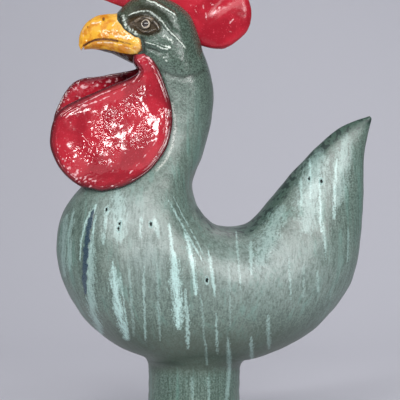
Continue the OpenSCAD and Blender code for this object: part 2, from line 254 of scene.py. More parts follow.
def unit(vectors):
    """Each vector over its own length."""
    return vectors / np.maximum(np.linalg.norm(vectors, axis=-1, keepdims=True), TINY)


def turns(sides):
    """Angles of the points of a ring, from 0 round to a full turn."""
    return 2 * np.pi * np.arange(sides) / sides


def line_distance(places, line):
    """Distance from each place (..., 2) to a broken line, and how far along it, from 0 to 1."""
    line = np.asarray(line, float)
    best = np.full(places.shape[:-1], np.inf)
    share = np.zeros(places.shape[:-1])
    count = len(line) - 1
    for i in range(count):
        step = line[i + 1] - line[i]
        t = np.clip((places - line[i]) @ step / (step @ step), 0, 1)
        gap = np.linalg.norm(places - line[i] - t[..., None] * step, axis=-1)
        share = np.where(gap < best, (i + t) / count, share)
        best = np.minimum(best, gap)
    return best, share


print("a soft step a quarter of the way up:", soft_step(0.25, 0, 1))

# %% Uneven clay
WAVE_COUNT = 30


def waves(points, length, seed):
    """A sum of sine waves of about one length in random directions, mostly from -1 to 1."""
    rng = np.random.default_rng(seed)
    way = unit(rng.normal(size=(WAVE_COUNT, 3)))
    number = 2 * np.pi / length * rng.uniform(0.7, 1.5, WAVE_COUNT)
    phase = rng.uniform(0, 2 * np.pi, WAVE_COUNT)
    return np.sin(points @ (way * number[:, None]).T + phase).sum(axis=-1) / math.sqrt(WAVE_COUNT)


def unevenness(points, layers):
    """A sum of waves. A layer is their height and length in millimetres, and a seed."""
    return sum(height * MM * waves(points, length * MM, seed) for height, length, seed in layers)


def ring_normals(rings):
    """Outward normals of a ring grid: the cross of its steps along and round."""
    along = np.gradient(rings, axis=0)
    around = np.roll(rings, -1, axis=1) - np.roll(rings, 1, axis=1)
    normals = unit(np.cross(along, around))
    outward = (normals * (rings - rings.mean(axis=1, keepdims=True))).sum()
    return normals if outward > 0 else -normals


def raised(rings, height):
    """Rings moved along their own normals by a height for each point."""
    return rings + ring_normals(rings) * height[..., None]


print("waves in a layer of uneven clay:", WAVE_COUNT)

# %% [markdown]
# ## The trunk
# Tail, body, neck and head are four hollow sections on one continuous skin. Each row of the
# table is a cut through the trunk: a point on the back, a point on the breast or belly, the half
# width, and how full the section is. A sculpted subdivision cage could do this too, but the
# table keeps the outline exact, and the four pieces meet without a step.

# %% The trunk's table
TRUNK_SHARES = [
    [0.548, 0.677, 0.556, 0.667, 0.015, 2],
    [0.45, 0.64, 0.532, 0.561, 0.062, 2],
    [0.341, 0.551, 0.527, 0.407, 0.14, 2],
    [0.244, 0.449, 0.494, 0.225, 0.25, 2.1],
    [0.163, 0.375, 0.369, 0.077, 0.37, 2.2],
    [0.081, 0.369, 0.175, -0.003, 0.46, 2.45],
    [0.041, 0.39, -0.055, -0.031, 0.495, 2.55],
    [0.019, 0.414, -0.159, 0.007, 0.503, 2.5],
    [0.005, 0.438, -0.248, 0.041, 0.503, 2.4],
    [-0.005, 0.485, -0.356, 0.126, 0.485, 2.25],
    [0.006, 0.522, -0.425, 0.264, 0.43, 2.1],
    [0.022, 0.555, -0.412, 0.399, 0.355, 2.1],
    [0.034, 0.589, -0.325, 0.5, 0.28, 2.1],
    [0.045, 0.627, -0.235, 0.563, 0.236, 2.1],
    [0.055, 0.67, -0.181, 0.633, 0.214, 2.1],
    [0.063, 0.729, -0.163, 0.72, 0.203, 2.1],
    [0.055, 0.792, -0.164, 0.779, 0.2, 2.1],
    [0.031, 0.853, -0.178, 0.808, 0.208, 2.1],
    [-0.019, 0.962, -0.191, 0.824, 0.199, 2.2],
    [-0.106, 1.008, -0.2, 0.832, 0.17, 2.2],
    [-0.188, 1.004, -0.213, 0.838, 0.135, 2.2],
    [-0.24, 0.965, -0.231, 0.855, 0.09, 2.2],
]
TAIL_TIP_ROW = 0
TAIL_HOLLOW_ROW = 1
TAIL_JOINT_ROW = 4
NECK_JOINT_ROW = 12
HEAD_JOINT_ROW = 16
HEAD_HOLLOW_ROW = 20
HEAD_FRONT_ROW = 21
TRUNK_SIDES = 256
FINE_COUNT = 600
print("cuts through the trunk:", len(TRUNK_SHARES))


# %% Cuts through the trunk
def bird_at(shares):
    """Side-view points at shares of the length and of the rise over the pedestal."""
    return np.asarray(shares) * [BIRD_L, RISE] + [0, PEDESTAL_H]


def trunk_rings(s, inset=0.0, sides=TRUNK_SIDES):
    """Rings of the trunk at row numbers s. A ring is a superellipse between back and breast,
    x and z = middle + half * cosine, y = half width * sine, cut off level at the pedestal."""
    row = row_at(TRUNK_SHARES, s)[:, None, :]
    back = bird_at(row[..., 0:2])
    breast = bird_at(row[..., 2:4])
    half = (breast - back) / 2
    reach = np.linalg.norm(half, axis=-1)
    inner_reach = np.maximum(reach - inset, THIN)
    inner_width = np.maximum(row[..., 4] * BREAST_W - inset, THIN)
    across = swell(np.cos(turns(sides)), row[..., 5]) * inner_reach / reach
    side = swell(np.sin(turns(sides)), row[..., 5]) * inner_width
    place = (back + breast)[:, 0, None, :] / 2 + across[..., None] * half
    return join(place[..., 0], side, np.maximum(place[..., 1], PEDESTAL_H + inset))


def stations(first, last, spacing):
    """Row numbers that keep the rings about `spacing` apart on the longer of back and belly."""
    fine = np.linspace(first, last, FINE_COUNT)
    row = row_at(TRUNK_SHARES, fine)
    steps = [np.linalg.norm(np.diff(bird_at(row[:, c:c + 2]), axis=0), axis=1) for c in (0, 2)]
    length = np.concatenate([[0], np.cumsum(np.maximum(*steps))])
    count = math.ceil(length[-1] / spacing)
    return np.interp(np.linspace(0, length[-1], count + 1), length, fine)


print(f"widest cut: {2 * BREAST_W * max(row[4] for row in TRUNK_SHARES) / MM:.1f} mm")

# %% [markdown]
# ## The head's relief
# The skin of the head isn't smooth: the eye lies in a socket, a ridge runs under the comb, folds
# mark the lore and the cheek, and a groove shows where the head was joined to the neck. All but
# the socket are lines in the side view, each with the half width of its bell in pixels and its
# rise in millimetres.

# %% Relief lines, as places in the photograph
SOCKET_MIDDLE = (144, 25)
SOCKET_HALF_SIZE = (16.5, 9.5)
SOCKET_TILT = math.radians(13)
SOCKET_DEPTH = 1.8 * MM
SOCKET_WALL = (-0.15, 0.45)
SOCKET_POINT = 1.1
RELIEF_ENDS = (-0.02, 0.12)
RELIEF_LINES = [
    ([(136, -3), (147, 1), (155, 2.5), (161, 6), (167, 9.5), (173, 13), (179, 20)], 1.7, 1.1),
    ([(139, 5), (152, 6.5), (164, 13), (172, 22), (178, 33)], 3.2, -0.8),
    ([(142, 41), (148, 43), (157, 45.5), (163, 48.5), (170, 49.5)], 1.5, 0.9),
    ([(143, 46), (151, 49), (161, 53), (168, 54)], 2.4, -0.7),
    ([(122, 16), (123, 21), (124.5, 27), (131, 32), (138, 38)], 1.6, 0.8),
    ([(141, 33), (148, 34.5), (155, 32.5), (160, 29)], 1.2, -0.6),
    ([(144, 37.5), (150, 37), (159, 32.5)], 1.2, 0.4),
    ([(162, 56), (166, 60), (170, 65)], 3.0, 0.6),
    ([(160, 68), (171, 75), (183, 78), (198, 74), (206, 69)], 3.4, -0.4),
]
TRUNK_UNEVEN = [(0.35, 55, 11), (0.12, 17, 12)]
print("lines of relief on the head:", len(RELIEF_LINES))


# %% The skin with its relief
def socket_share(places):
    """1 in the middle of the eye's socket and 0 on its almond-shaped edge, in the photograph."""
    off = places - SOCKET_MIDDLE
    c, s = math.cos(SOCKET_TILT), math.sin(SOCKET_TILT)
    along = (off[..., 0] * c + off[..., 1] * s) / SOCKET_HALF_SIZE[0]
    across = (off[..., 1] * c - off[..., 0] * s) / SOCKET_HALF_SIZE[1]
    return 1 - np.hypot(np.abs(along) ** SOCKET_POINT, across)


def fading(share, ends):
    """1 along a line and less at its ends, by share * (1 - share)."""
    return soft_step(share * (1 - share), *ends)


def head_relief(places):
    """Height of the skin over the plain trunk at places of the photograph, in metres. A line
    is highest in its middle and dies out at its ends."""
    height = -SOCKET_DEPTH * soft_step(socket_share(places), *SOCKET_WALL)
    for line, half_width, rise in RELIEF_LINES:
        gap, share = line_distance(places, line)
        height += rise * MM * fading(share, RELIEF_ENDS) * bell(gap, half_width)
    return height


def trunk_skin(s, sides=TRUNK_SIDES):
    """The outer skin of the trunk with its relief and uneven clay."""
    rings = trunk_rings(s, sides=sides)
    return raised(rings, unevenness(rings, TRUNK_UNEVEN) + head_relief(seen(rings)))


depth = -head_relief(np.array([SOCKET_MIDDLE], float))[0]
print(f"the socket is {depth / MM:.1f} mm deep")

# %% Tail, body, neck and head
RING_SPACING = 1.5 * MM
HEAD_SPACING = 0.45 * MM
HEAD_SIDES = 384
INNER_SPACING = 8 * MM


def inner_wall(first, last, sides=TRUNK_SIDES):
    """Rings one wall inside the trunk, from the last row back to the first."""
    return trunk_rings(stations(first, last, INNER_SPACING), WALL, sides)[::-1]


def tube_piece(name, skin, first, last):
    """A hollow section open at both ends: out along the skin and back along the inner wall."""
    wall = inner_wall(first, last)
    edges = [0, len(skin) - 1, len(skin), len(skin) + len(wall) - 1]
    return ring_piece(name, np.concatenate([skin, wall]), closed=True, sharp=edges)


def cup_piece(name, first, second):
    """A hollow section closed at its tip: skin and inner wall in either order, with an edge
    where the first set of rings meets the second."""
    edges = [len(first) - 1, len(first)]
    return ring_piece(name, np.concatenate([first, second]), sharp=edges)


tail_skin = trunk_skin(stations(TAIL_TIP_ROW, TAIL_JOINT_ROW, RING_SPACING))
tail = cup_piece("glazed_tail", tail_skin, inner_wall(TAIL_HOLLOW_ROW, TAIL_JOINT_ROW))
body_skin = trunk_skin(stations(TAIL_JOINT_ROW, NECK_JOINT_ROW, RING_SPACING))
body = tube_piece("glazed_body", body_skin, TAIL_JOINT_ROW, NECK_JOINT_ROW)
neck_skin = trunk_skin(stations(NECK_JOINT_ROW, HEAD_JOINT_ROW, RING_SPACING))
neck = tube_piece("glazed_neck", neck_skin, NECK_JOINT_ROW, HEAD_JOINT_ROW)
head_skin = trunk_skin(stations(HEAD_JOINT_ROW, HEAD_FRONT_ROW, HEAD_SPACING), HEAD_SIDES)
head = cup_piece("glazed_head", inner_wall(HEAD_JOINT_ROW, HEAD_HOLLOW_ROW, HEAD_SIDES), head_skin)
trunk = [tail, body, neck, head]

# %% [markdown]
# ## The pedestal
# The pedestal was thrown on a wheel, so it is a profile carried round the axis: down the stem,
# over a flared foot, and back up its hollow. The real foot is outside the photograph, so its
# flare is a guess that suits the stem. Faint throwing rings run round it. Above the stem the
# potter smoothed the joint to the body with a thumb. That collar is a quarter ellipse hung from
# the body's underside, whose height is read from the body's own skin.

# %% The pedestal's profile
PEDESTAL_SIDES = 192
FOOT_EDGE = 7 * MM
FLARE_H = 24 * MM
FOOT_RING_W = 10 * MM
ROUNDING = 2 * MM
STEM_RINGS = 50
BORE_RINGS = 12


def arc(centre, radius, start, end, count):
    """Points of an arc, its angles in degrees."""
    angle = np.radians(np.linspace(start, end, count))
    return join(centre[0] + radius * np.cos(angle), centre[1] + radius * np.sin(angle))


def upright(radius, low, high, count):
    """Points of a straight wall, from its height `low` to `high`."""
    return join(radius, np.linspace(low, high, count))


def pedestal_profile():
    """Radius and height round the wall of the pedestal below its collar, up the hollow."""
    flare_w = FOOT_R - STEM_R
    flare_r = (flare_w ** 2 + FLARE_H ** 2) / (2 * flare_w)
    flare_z = FOOT_EDGE + FLARE_H
    sweep_angle = math.degrees(math.asin(FLARE_H / flare_r))
    hollow_r = FOOT_R - FOOT_RING_W
    reach = flare_r + WALL
    meet = math.degrees(math.acos((STEM_R + flare_r - hollow_r) / reach))
    flare_middle = (STEM_R + flare_r, flare_z)
    return np.concatenate([
        upright(STEM_R, PEDESTAL_H, flare_z, STEM_RINGS),
        arc(flare_middle, flare_r, 180, 180 + sweep_angle, 40)[1:-2],
        arc((FOOT_R - ROUNDING, FOOT_EDGE - ROUNDING), ROUNDING, 60, 0, 8),
        arc((FOOT_R - ROUNDING, ROUNDING), ROUNDING, 0, -90, 10),
        arc((hollow_r + ROUNDING, ROUNDING), ROUNDING, 270, 180, 10),
        arc(flare_middle, reach, 180 + meet, 180, 30),
        upright(STEM_R - WALL, flare_z + MM, PEDESTAL_H, BORE_RINGS),
    ])


def revolved(profile, sides):
    """A profile of radius and height carried round the upright axis."""
    turn = turns(sides)
    radius, height = profile[:, 0, None], profile[:, 1, None]
    return join(radius * np.cos(turn), radius * np.sin(turn), height)


profile = pedestal_profile()
print("points round the pedestal's wall:", len(profile))

# %% The pedestal's collar
COLLAR_RINGS = 30
COLLAR_W = 8 * MM
COLLAR_H = 8 * MM
WIDER_BEHIND = 3 * MM
HIGHER_BEHIND = 1.5 * MM
COLLAR_BURIED = 0.2 * MM
BURIED_FROM = 0.7
FELT_RADIUS = 1.7 * STEM_R
FELT_HEIGHT = 1.5 * PEDESTAL_H
FELT_W = 1.6 * MM


def underside(x, y):
    """Height of the body's underside over points of the floor: a mean of the skin's vertices,
    weighted by a bell of their distance."""
    near = body_skin[(np.hypot(body_skin[..., 0], body_skin[..., 1]) < FELT_RADIUS)
                     & (body_skin[..., 2] < FELT_HEIGHT)]
    gap = np.hypot(x[..., None] - near[:, 0], y[..., None] - near[:, 1])
    weight = bell(gap, FELT_W) + TINY
    return (weight * near[:, 2]).sum(axis=-1) / weight.sum(axis=-1)


def collar_rings(sides):
    """From the body's underside down to the stem. The collar is wider behind than in front."""
    turn = turns(sides)
    t = np.sin(np.linspace(math.pi / 2, 0, COLLAR_RINGS))[:, None] ** 2
    radius = STEM_R + (COLLAR_W + WIDER_BEHIND * np.cos(turn)) * t
    x = radius * np.cos(turn)
    y = radius * np.sin(turn)
    drop = (COLLAR_H + HIGHER_BEHIND * np.cos(turn)) * (1 - np.sqrt(1 - (1 - t) ** 2))
    return join(x, y, underside(x, y) - drop + COLLAR_BURIED * soft_step(t, BURIED_FROM, 1))


collar = collar_rings(PEDESTAL_SIDES)
print(f"the collar reaches from {collar[..., 2].min() / MM:.1f} to {collar[..., 2].max() / MM:.1f} mm")

# %% Pedestal
THROWING_H = 0.12 * MM
THROWING_PITCH = 1.7 * MM
THROWN_BELOW = PEDESTAL_H - 10 * MM
PEDESTAL_UNEVEN = [(0.25, 40, 21)]
pedestal_rings = revolved(profile, PEDESTAL_SIDES)
share = np.linspace(0, 1, STEM_RINGS)[:, None]
stem_foot = profile[STEM_RINGS - 1, 1]
pedestal_rings[:STEM_RINGS, :, 2] = collar[-1, :, 2] * (1 - share) + stem_foot * share
pedestal_rings = np.concatenate([collar[:-1], pedestal_rings])
height = pedestal_rings[..., 2]
throwing = THROWING_H * np.sin(height / THROWING_PITCH) * (height < THROWN_BELOW)
uneven = throwing + unevenness(pedestal_rings, PEDESTAL_UNEVEN)
standing = soft_step(height, 2 * MM, 6 * MM) * soft_step(height, PEDESTAL_H, PEDESTAL_H - 5 * MM)
radial = unit(pedestal_rings * [1, 1, 0])
pedestal_rings = pedestal_rings + radial * (uneven * standing)[..., None]
pedestal = ring_piece("glazed_pedestal", pedestal_rings, closed=True,
                      sharp=[0, len(pedestal_rings) - 1])

# %% [markdown]
# ## The beak
# The upper and the lower beak are two half-round bars pressed on the head, flat where they meet.
# Each ring is a mouth line's width that arches up to the ridge or down to the keel. The upper
# bar is a little wider, so that it steps over the lower one, but the step dies out at the gape,
# where the two are smeared into one puffy corner. A nostril is pushed in.

# %% The beak's table
BEAK_ROOT = [-0.197, 0.874]
BEAK_L = 42 * MM
BEAK_H = 25 * MM
BEAK_W = 29 * MM
JAW_H = 12 * MM
LIP = 0.8 * MM
LIP_ROWS = (0.6, 2.4)
BEAK_SIDES = 144
RINGS_PER_ROW = 14
BEAK_SHARES = [
    [0.229, -0.097, 0.095, 1.19, 0.286, -1.4, 0.7],
    [0.019, -0.042, -0.133, 1.065, 0.057, -1.267, 0.61],
    [-0.19, 0.077, -0.324, 1.016, -0.171, -0.9, 0.51],
    [-0.4, 0.174, -0.514, 0.984, -0.362, -0.567, 0.44],
    [-0.61, 0.168, -0.695, 0.9, -0.571, -0.36, 0.36],
    [-0.771, 0.071, -0.855, 0.705, -0.752, -0.28, 0.27],
    [-0.886, -0.048, -0.966, 0.39, -0.886, -0.307, 0.18],
    [-0.952, -0.161, -1, 0, -0.952, -0.333, 0.09],
]
LOWER_BEAK_END_ROW = 6
BEAK_FULLNESS = 1.5
NOSTRIL = (103.5, 19)
SMALL_PIT = (87.5, 27)
GAPE = (136, 46)
BEAK_DENTS = [(GAPE, 5.5, 0.8), (NOSTRIL, 1.7, -1.5), (SMALL_PIT, 1.4, -0.8)]
UPPER_UNEVEN = [(0.22, 11, 31)]
LOWER_UNEVEN = [(0.22, 11, 32)]
print("cuts through the beak:", len(BEAK_SHARES))


# %% Upper and lower beak
def beak_rings(last, upper):
    """Rings of a half-round bar: x and z go from the mouth line to the crest by a sine, and y
    is the half width times the cosine."""
    s = np.linspace(0, last, RINGS_PER_ROW * last + 1)
    row = row_at(BEAK_SHARES, s)[:, None, :]
    origin = bird_at(BEAK_ROOT)
    mouth = origin + row[..., 0:2] * [BEAK_L, BEAK_H]
    crest = origin + (row[..., 2:4] * [BEAK_L, BEAK_H] if upper else row[..., 4:6] * [BEAK_L, JAW_H])
    lip = LIP * soft_step(s, *LIP_ROWS)[:, None]
    half_width = row[..., 6] * BEAK_W - (0 if upper else lip)
    turn = turns(BEAK_SIDES)
    place = mouth + (crest - mouth) * np.maximum(np.sin(turn), 0)[..., None]
    return join(place[..., 0], half_width * swell(np.cos(turn), BEAK_FULLNESS), place[..., 1])


def dented(rings, layers):
    """Pushes the nostril and a small pit into a beak, swells the gape, and leaves it lumpy: a
    bell for each in the side view, along the normals."""
    places = seen(rings)
    height = unevenness(rings, layers)
    for middle, half_width, rise in BEAK_DENTS:
        height += rise * MM * bell(np.linalg.norm(places - middle, axis=-1), half_width)
    return raised(rings, height)


upper_grid = beak_rings(len(BEAK_SHARES) - 1, True)
lower_grid = beak_rings(LOWER_BEAK_END_ROW, False)
upper_beak = ring_piece("upper_beak_bar", dented(upper_grid, UPPER_UNEVEN))
lower_beak = ring_piece("lower_beak_bar", dented(lower_grid, LOWER_UNEVEN))

# %% [markdown]
# ## The comb
# The comb is one slab, cut into round lobes and pinched along its edge. Its rings cross the slab
# from the root to the lobes' tips. A notch is a narrow power of a cosine along the rings, and
# the slab grows thinner below each notch, as it does when lobes are pinched apart.

# %% The comb's table
COMB_ROOT = [-0.15, 0.972]
COMB_L = 126 * MM
COMB_H = 53 * MM
COMB_T = 12 * MM
NOTCH_H = 11 * MM
COMB_SHARES = [
    [-0.327, 0.33, -0.327, 0.37, 0.08],
    [-0.304, 0.197, -0.291, 0.606, 0.42],
    [-0.234, 0.12, -0.209, 0.803, 0.5],
    [-0.152, 0.045, -0.082, 0.939, 0.5],
    [-0.057, -0.045, 0.063, 1, 0.5],
    [0.038, -0.03, 0.215, 0.985, 0.5],
    [0.127, -0.106, 0.367, 0.879, 0.5],
    [0.203, -0.242, 0.506, 0.667, 0.5],
    [0.259, -0.394, 0.614, 0.348, 0.5],
    [0.316, -0.5, 0.668, 0.015, 0.5],
    [0.373, -0.553, 0.646, -0.303, 0.48],
    [0.424, -0.583, 0.563, -0.5, 0.4],
    [0.48, -0.59, 0.5, -0.58, 0.08],
]
FIRST_NOTCH_ROW = 2.4
LAST_NOTCH_ROW = 7.8
NOTCH_COUNT = 4
NOTCH_SHARPNESS = 8
PINCH_SHARPNESS = 3
PINCH_DEPTH = 0.35
PINCH_REACH = (-0.4, 0.8)
SLAB_FULLNESS = 2.4
COMB_RINGS = 300
COMB_SIDES = 128
COMB_UNEVEN = [(0.1, 18, 41), (0.03, 5, 42)]
print("cuts through the comb:", len(COMB_SHARES))


# %% Comb
def notch_at(s, sharpness):
    """1 at a notch and 0 between two: a power of the cosine of the place along the notches."""
    pitch = (LAST_NOTCH_ROW - FIRST_NOTCH_ROW) / (NOTCH_COUNT - 1)
    place = (s - FIRST_NOTCH_ROW) / pitch
    near = (place > -0.5) & (place < NOTCH_COUNT - 0.5)
    return near * np.abs(np.cos(np.pi * place)) ** sharpness


def comb_rings():
    """Rings between the comb's root and its notched edge, each a flat superellipse."""
    s = np.linspace(0, len(COMB_SHARES) - 1, COMB_RINGS)
    row = row_at(COMB_SHARES, s)
    origin = bird_at(COMB_ROOT)
    root = origin + row[:, 0:2] * [COMB_L, COMB_H]
    tip = origin + row[:, 2:4] * [COMB_L, COMB_H]
    edge = tip - unit(tip - root) * NOTCH_H * notch_at(s, NOTCH_SHARPNESS)[:, None]
    turn = turns(COMB_SIDES)
    out = swell(np.cos(turn), SLAB_FULLNESS)
    place = (root + edge)[:, None, :] / 2 + (edge - root)[:, None, :] / 2 * out[None, :, None]
    pinched = notch_at(s, PINCH_SHARPNESS)[:, None] * soft_step(out, *PINCH_REACH)
    pinch = 1 - PINCH_DEPTH * pinched
    side = COMB_T * row[:, 4, None] * swell(np.sin(turn), SLAB_FULLNESS) * pinch
    return join(place[..., 0], side, place[..., 1])


comb_grid = comb_rings()
comb = ring_piece("glazed_comb", raised(comb_grid, unevenness(comb_grid, COMB_UNEVEN)))
note(comb, edge=0)

# %% [markdown]
# ## The wattles
# Each wattle is a slab that hangs from the gape, turns round the neck and lies on the breast.
# Its face is pressed hollow with the thumb and its edge is left as a flat rim, widest along the
# upper front, with a ridge along its middle, a groove, and a lip where the hollow starts. All
# follow the distance from the slab's outline, so the outline is measured first.

# %% The wattles' tables
WATTLE_ROOT = [-0.172, 0.855]
WATTLE_W = 98 * MM
WATTLE_H = 112 * MM
WATTLE_T = 9 * MM
WATTLE_SPREAD = 84 * MM
WATTLE_RINGS = 200
WATTLE_SIDES = 200
LEFT_WATTLE_SHARES = [
    [-0.038, -0.038, 0.079, -0.027, 0.19, 0.21, 0.2],
    [-0.043, -0.084, 0.137, -0.089, 0.16, 0.25, 0.5],
    [-0.008, -0.162, 0.19, -0.185, 0.11, 0.3, 0.5],
    [-0.217, -0.241, 0.245, -0.32, 0.06, 0.335, 0.5],
    [-0.49, -0.342, 0.276, -0.429, 0.06, 0.345, 0.5],
    [-0.665, -0.448, 0.276, -0.557, 0.06, 0.365, 0.5],
    [-0.722, -0.637, 0.232, -0.693, 0.06, 0.4, 0.5],
    [-0.659, -0.807, 0.13, -0.829, 0.1, 0.455, 0.5],
    [-0.545, -0.914, 0.008, -0.914, 0.2, 0.51, 0.5],
    [-0.44, -0.966, -0.11, -0.968, 0.34, 0.51, 0.45],
    [-0.3, -0.995, -0.26, -0.997, 0.44, 0.46, 0.2],
]
RIGHT_FRONT_SHARES = [
    [-0.038, -0.038], [-0.043, -0.084], [-0.041, -0.121], [-0.26, -0.162], [-0.531, -0.212],
    [-0.671, -0.393], [-0.711, -0.586], [-0.667, -0.786], [-0.545, -0.914], [-0.44, -0.966],
    [-0.3, -0.995],
]
RIGHT_WATTLE_SHARES = [new + old[2:] for new, old in zip(RIGHT_FRONT_SHARES, LEFT_WATTLE_SHARES)]
RIM_ROWS = [0, 1, 2.2, 3, 6, 8, 10]
RIM_WIDTHS = np.array([2, 4, 7.2, 7.4, 5, 3.4, 2.8]) * MM
BACK_RIM_W = 3.2 * MM
WATTLE_UNEVEN = [(0.16, 17, 51), (0.03, 5, 52)]
DISH_DEPTH = 1.7 * MM
DISH_START = 0.95
DISH_W = 18 * MM
EDGE_SHADE_W = 3.6 * MM
print("cuts through a wattle:", len(LEFT_WATTLE_SHARES))

# %% [markdown]
# A row of the next table is a line that runs along the rim: where it lies across the rim's
# width, from 0 at the edge to 1 inside, and its half width and its rise in millimetres.

# %% Wattles
RIM_LINES = [(0.46, 0.8, 0.35), (0.72, 0.8, -0.3), (0.97, 1, 0.5)]
OUTER_FACE = (0, 0.5)
OUTLINE_STEP = 4


def wattle_rings(rows, side):
    """Rings between the front and the back edge, and the rim's width there. A point's place and
    its distance from the middle plane both go across with the cosine; the sine adds the
    slab's thickness."""
    s = np.linspace(0, len(rows) - 1, WATTLE_RINGS)
    row = row_at(rows, s)
    origin = bird_at(WATTLE_ROOT)
    front = origin + row[:, 0:2] * [WATTLE_W, WATTLE_H]
    back = origin + row[:, 2:4] * [WATTLE_W, WATTLE_H]
    turn = turns(WATTLE_SIDES)
    across = (1 - swell(np.cos(turn), SLAB_FULLNESS)) / 2
    place = front[:, None, :] + (back - front)[:, None, :] * across[None, :, None]
    levels = row[:, 4:6] * WATTLE_SPREAD
    level = levels[:, 0, None] + (levels[:, 1] - levels[:, 0])[:, None] * across
    thick = WATTLE_T * row[:, 6, None] * swell(np.sin(turn), SLAB_FULLNESS)
    outline = np.concatenate([front, back[::-1]])
    rim_width = np.interp(s, RIM_ROWS, RIM_WIDTHS)[:, None] * (1 - across) + BACK_RIM_W * across
    return join(place[..., 0], side * (level + thick), place[..., 1]), outline, rim_width


def rimmed(rings, outline, rim_width, side):
    """Draws the lines along the flat rim and hollows the face inside them, on the outer face
    only: bells and a soft step of the distance from the outline."""
    gap = line_distance(rings[..., [0, 2]], outline[::OUTLINE_STEP])[0]
    height = -DISH_DEPTH * soft_step(gap, rim_width * DISH_START, rim_width + DISH_W)
    for share, half_width, rise in RIM_LINES:
        height += rise * MM * bell(gap - rim_width * share, half_width * MM)
    height *= soft_step(ring_normals(rings)[..., 1] * side, *OUTER_FACE)
    return raised(rings, height + unevenness(rings, WATTLE_UNEVEN)), gap


def wattle(name, rows, side):
    """One slab, with how near each vertex lies to its edge kept for the glaze."""
    rings, gap = rimmed(*wattle_rings(rows, side), side)
    made = ring_piece(name, rings)
    note(made, edge=np.append(bell(gap, EDGE_SHADE_W).ravel(), [1, 1]))
    return made


left_wattle = wattle("left_wattle_slab", LEFT_WATTLE_SHARES, LEFT)
right_wattle = wattle("right_wattle_slab", RIGHT_WATTLE_SHARES, RIGHT)

# %% [markdown]
# ## Places on the head
# Eyes, lids and brows lie on the head's skin. Their lines are known in the photograph, so each
# place is pushed out to the skin: the section that runs through it is found by halving, the
# superellipse gives the half width there, and the relief is added along the normal.

# %% From the photograph to the head's skin
HALVINGS = 22
PLACE_ROUNDS = 4
SLOPE_STEP = 0.4 * MM


def ahead(x, z, s):
    """How far a side-view point lies in front of section s, towards the next one."""
    row = row_at(TRUNK_SHARES, s)
    back = bird_at(row[..., 0:2])
    way = bird_at(row[..., 2:4]) - back
    return (x - back[..., 0]) * way[..., 1] - (z - back[..., 1]) * way[..., 0]


def head_half_width(x, z):
    """Half width of the plain head over side-view points."""
    low = np.full(np.shape(x), float(HEAD_JOINT_ROW))
    high = np.full(np.shape(x), float(HEAD_FRONT_ROW))
    for _ in range(HALVINGS):
        middle = (low + high) / 2
        beyond = ahead(x, z, middle) * ahead(x, z, high) <= 0
        low = np.where(beyond, middle, low)
        high = np.where(beyond, high, middle)
    row = row_at(TRUNK_SHARES, (low + high) / 2)
    back = bird_at(row[..., 0:2])
    breast = bird_at(row[..., 2:4])
    middle = (back + breast) / 2
    reach = np.linalg.norm(breast - back, axis=-1) / 2
    off = np.minimum(np.hypot(x - middle[..., 0], z - middle[..., 1]) / reach, 1)
    return row[..., 4] * BREAST_W * (1 - off ** row[..., 5]) ** (1 / row[..., 5])


def on_head(pixels, side):
    """Points and outward normals of the head's skin that show at pixels of the photograph. The
    slopes of the half width give the normal."""
    pixels = np.asarray(pixels, float)
    width = np.zeros(len(pixels))
    for _ in range(PLACE_ROUNDS):
        x, z = side_view(pixels, width)
        width = head_half_width(x, z)
    step = SLOPE_STEP
    slope_x = (head_half_width(x + step, z) - head_half_width(x - step, z)) / (2 * step)
    slope_z = (head_half_width(x, z + step) - head_half_width(x, z - step)) / (2 * step)
    normal = unit(join(-slope_x, 1.0, -slope_z))
    point = join(x, width, z) + normal * head_relief(pixels)[:, None]
    return point * [1, side, 1], normal * [1, side, 1]


at_socket = head_half_width(*side_view(np.array(SOCKET_MIDDLE), 0))
print(f"the head is {2 * at_socket / MM:.1f} mm wide at the sockets")

# %% [markdown]
# ## Coils laid on the head
# A lid is a thin coil of clay and a brow is a thicker one, smoothed down at both sides. Both are
# one section carried along a path on the skin. The brow's section is a bell whose foot dips
# under the skin, so no edge shows. The lid's section is round on top, so a crease stays. A row
# of a table is a place in the photograph, and the half width and the height in millimetres.

# %% The coils' tables
ROW_UNITS = [1, 1, MM, MM]
BROW_ROWS = [
    [123, 20.5, 0.5, 0.3], [127, 17.2, 2.2, 1.5], [136, 12.9, 2.6, 2.0], [146, 10.9, 2.8, 2.2],
    [153, 13, 2.8, 2.2], [159, 17.5, 2.8, 2.2], [166, 27, 2.7, 2.0], [171, 33, 2.6, 1.6],
    [177, 39, 2.4, 1.1], [184, 46.5, 0.8, 0.3],
]
UPPER_LID_ROWS = [
    [130, 23.2, 0.4, 0.3], [134, 20.8, 1.4, 1.2], [140, 18.2, 1.7, 1.7], [146, 17.6, 1.7, 2.0],
    [152, 19.8, 1.7, 1.7], [156.5, 24.2, 1.4, 1.3], [159, 29.5, 0.4, 0.3],
]
LOWER_LID_ROWS = [
    [132, 23.8, 0.4, 0.3], [136, 26.2, 1.0, 1.0], [141, 30, 1.2, 1.5], [146.5, 31.6, 1.2, 1.7],
    [152, 30.2, 1.1, 1.5], [156, 28.4, 0.4, 0.4],
]
COIL_SIDES = 40
COIL_RINGS = 90
COIL_UNEVEN = [(0.08, 4, 61)]
BROW_POWER = 1.5
BROW_SINK = 0.12
UNDER_SKIN = (0.9, -0.9)
print("rows of a brow and of two lids:", len(BROW_ROWS), len(UPPER_LID_ROWS), len(LOWER_LID_ROWS))


# %% Brows and lids
def bell_section(sides):
    """Across from -1 to 1 over a raised cosine to a power, and back below the skin."""
    half = sides // 2
    over = np.linspace(-1, 1, half)
    top = join(over, ((1 + np.cos(np.pi * over)) / 2) ** BROW_POWER - BROW_SINK)
    return np.concatenate([top, join(over[::-1] * UNDER_SKIN[0], UNDER_SKIN[1])])


def round_section(sides):
    """A circle of radius 1: cosine across and sine up."""
    turn = turns(sides)
    return join(np.cos(turn), np.sin(turn))


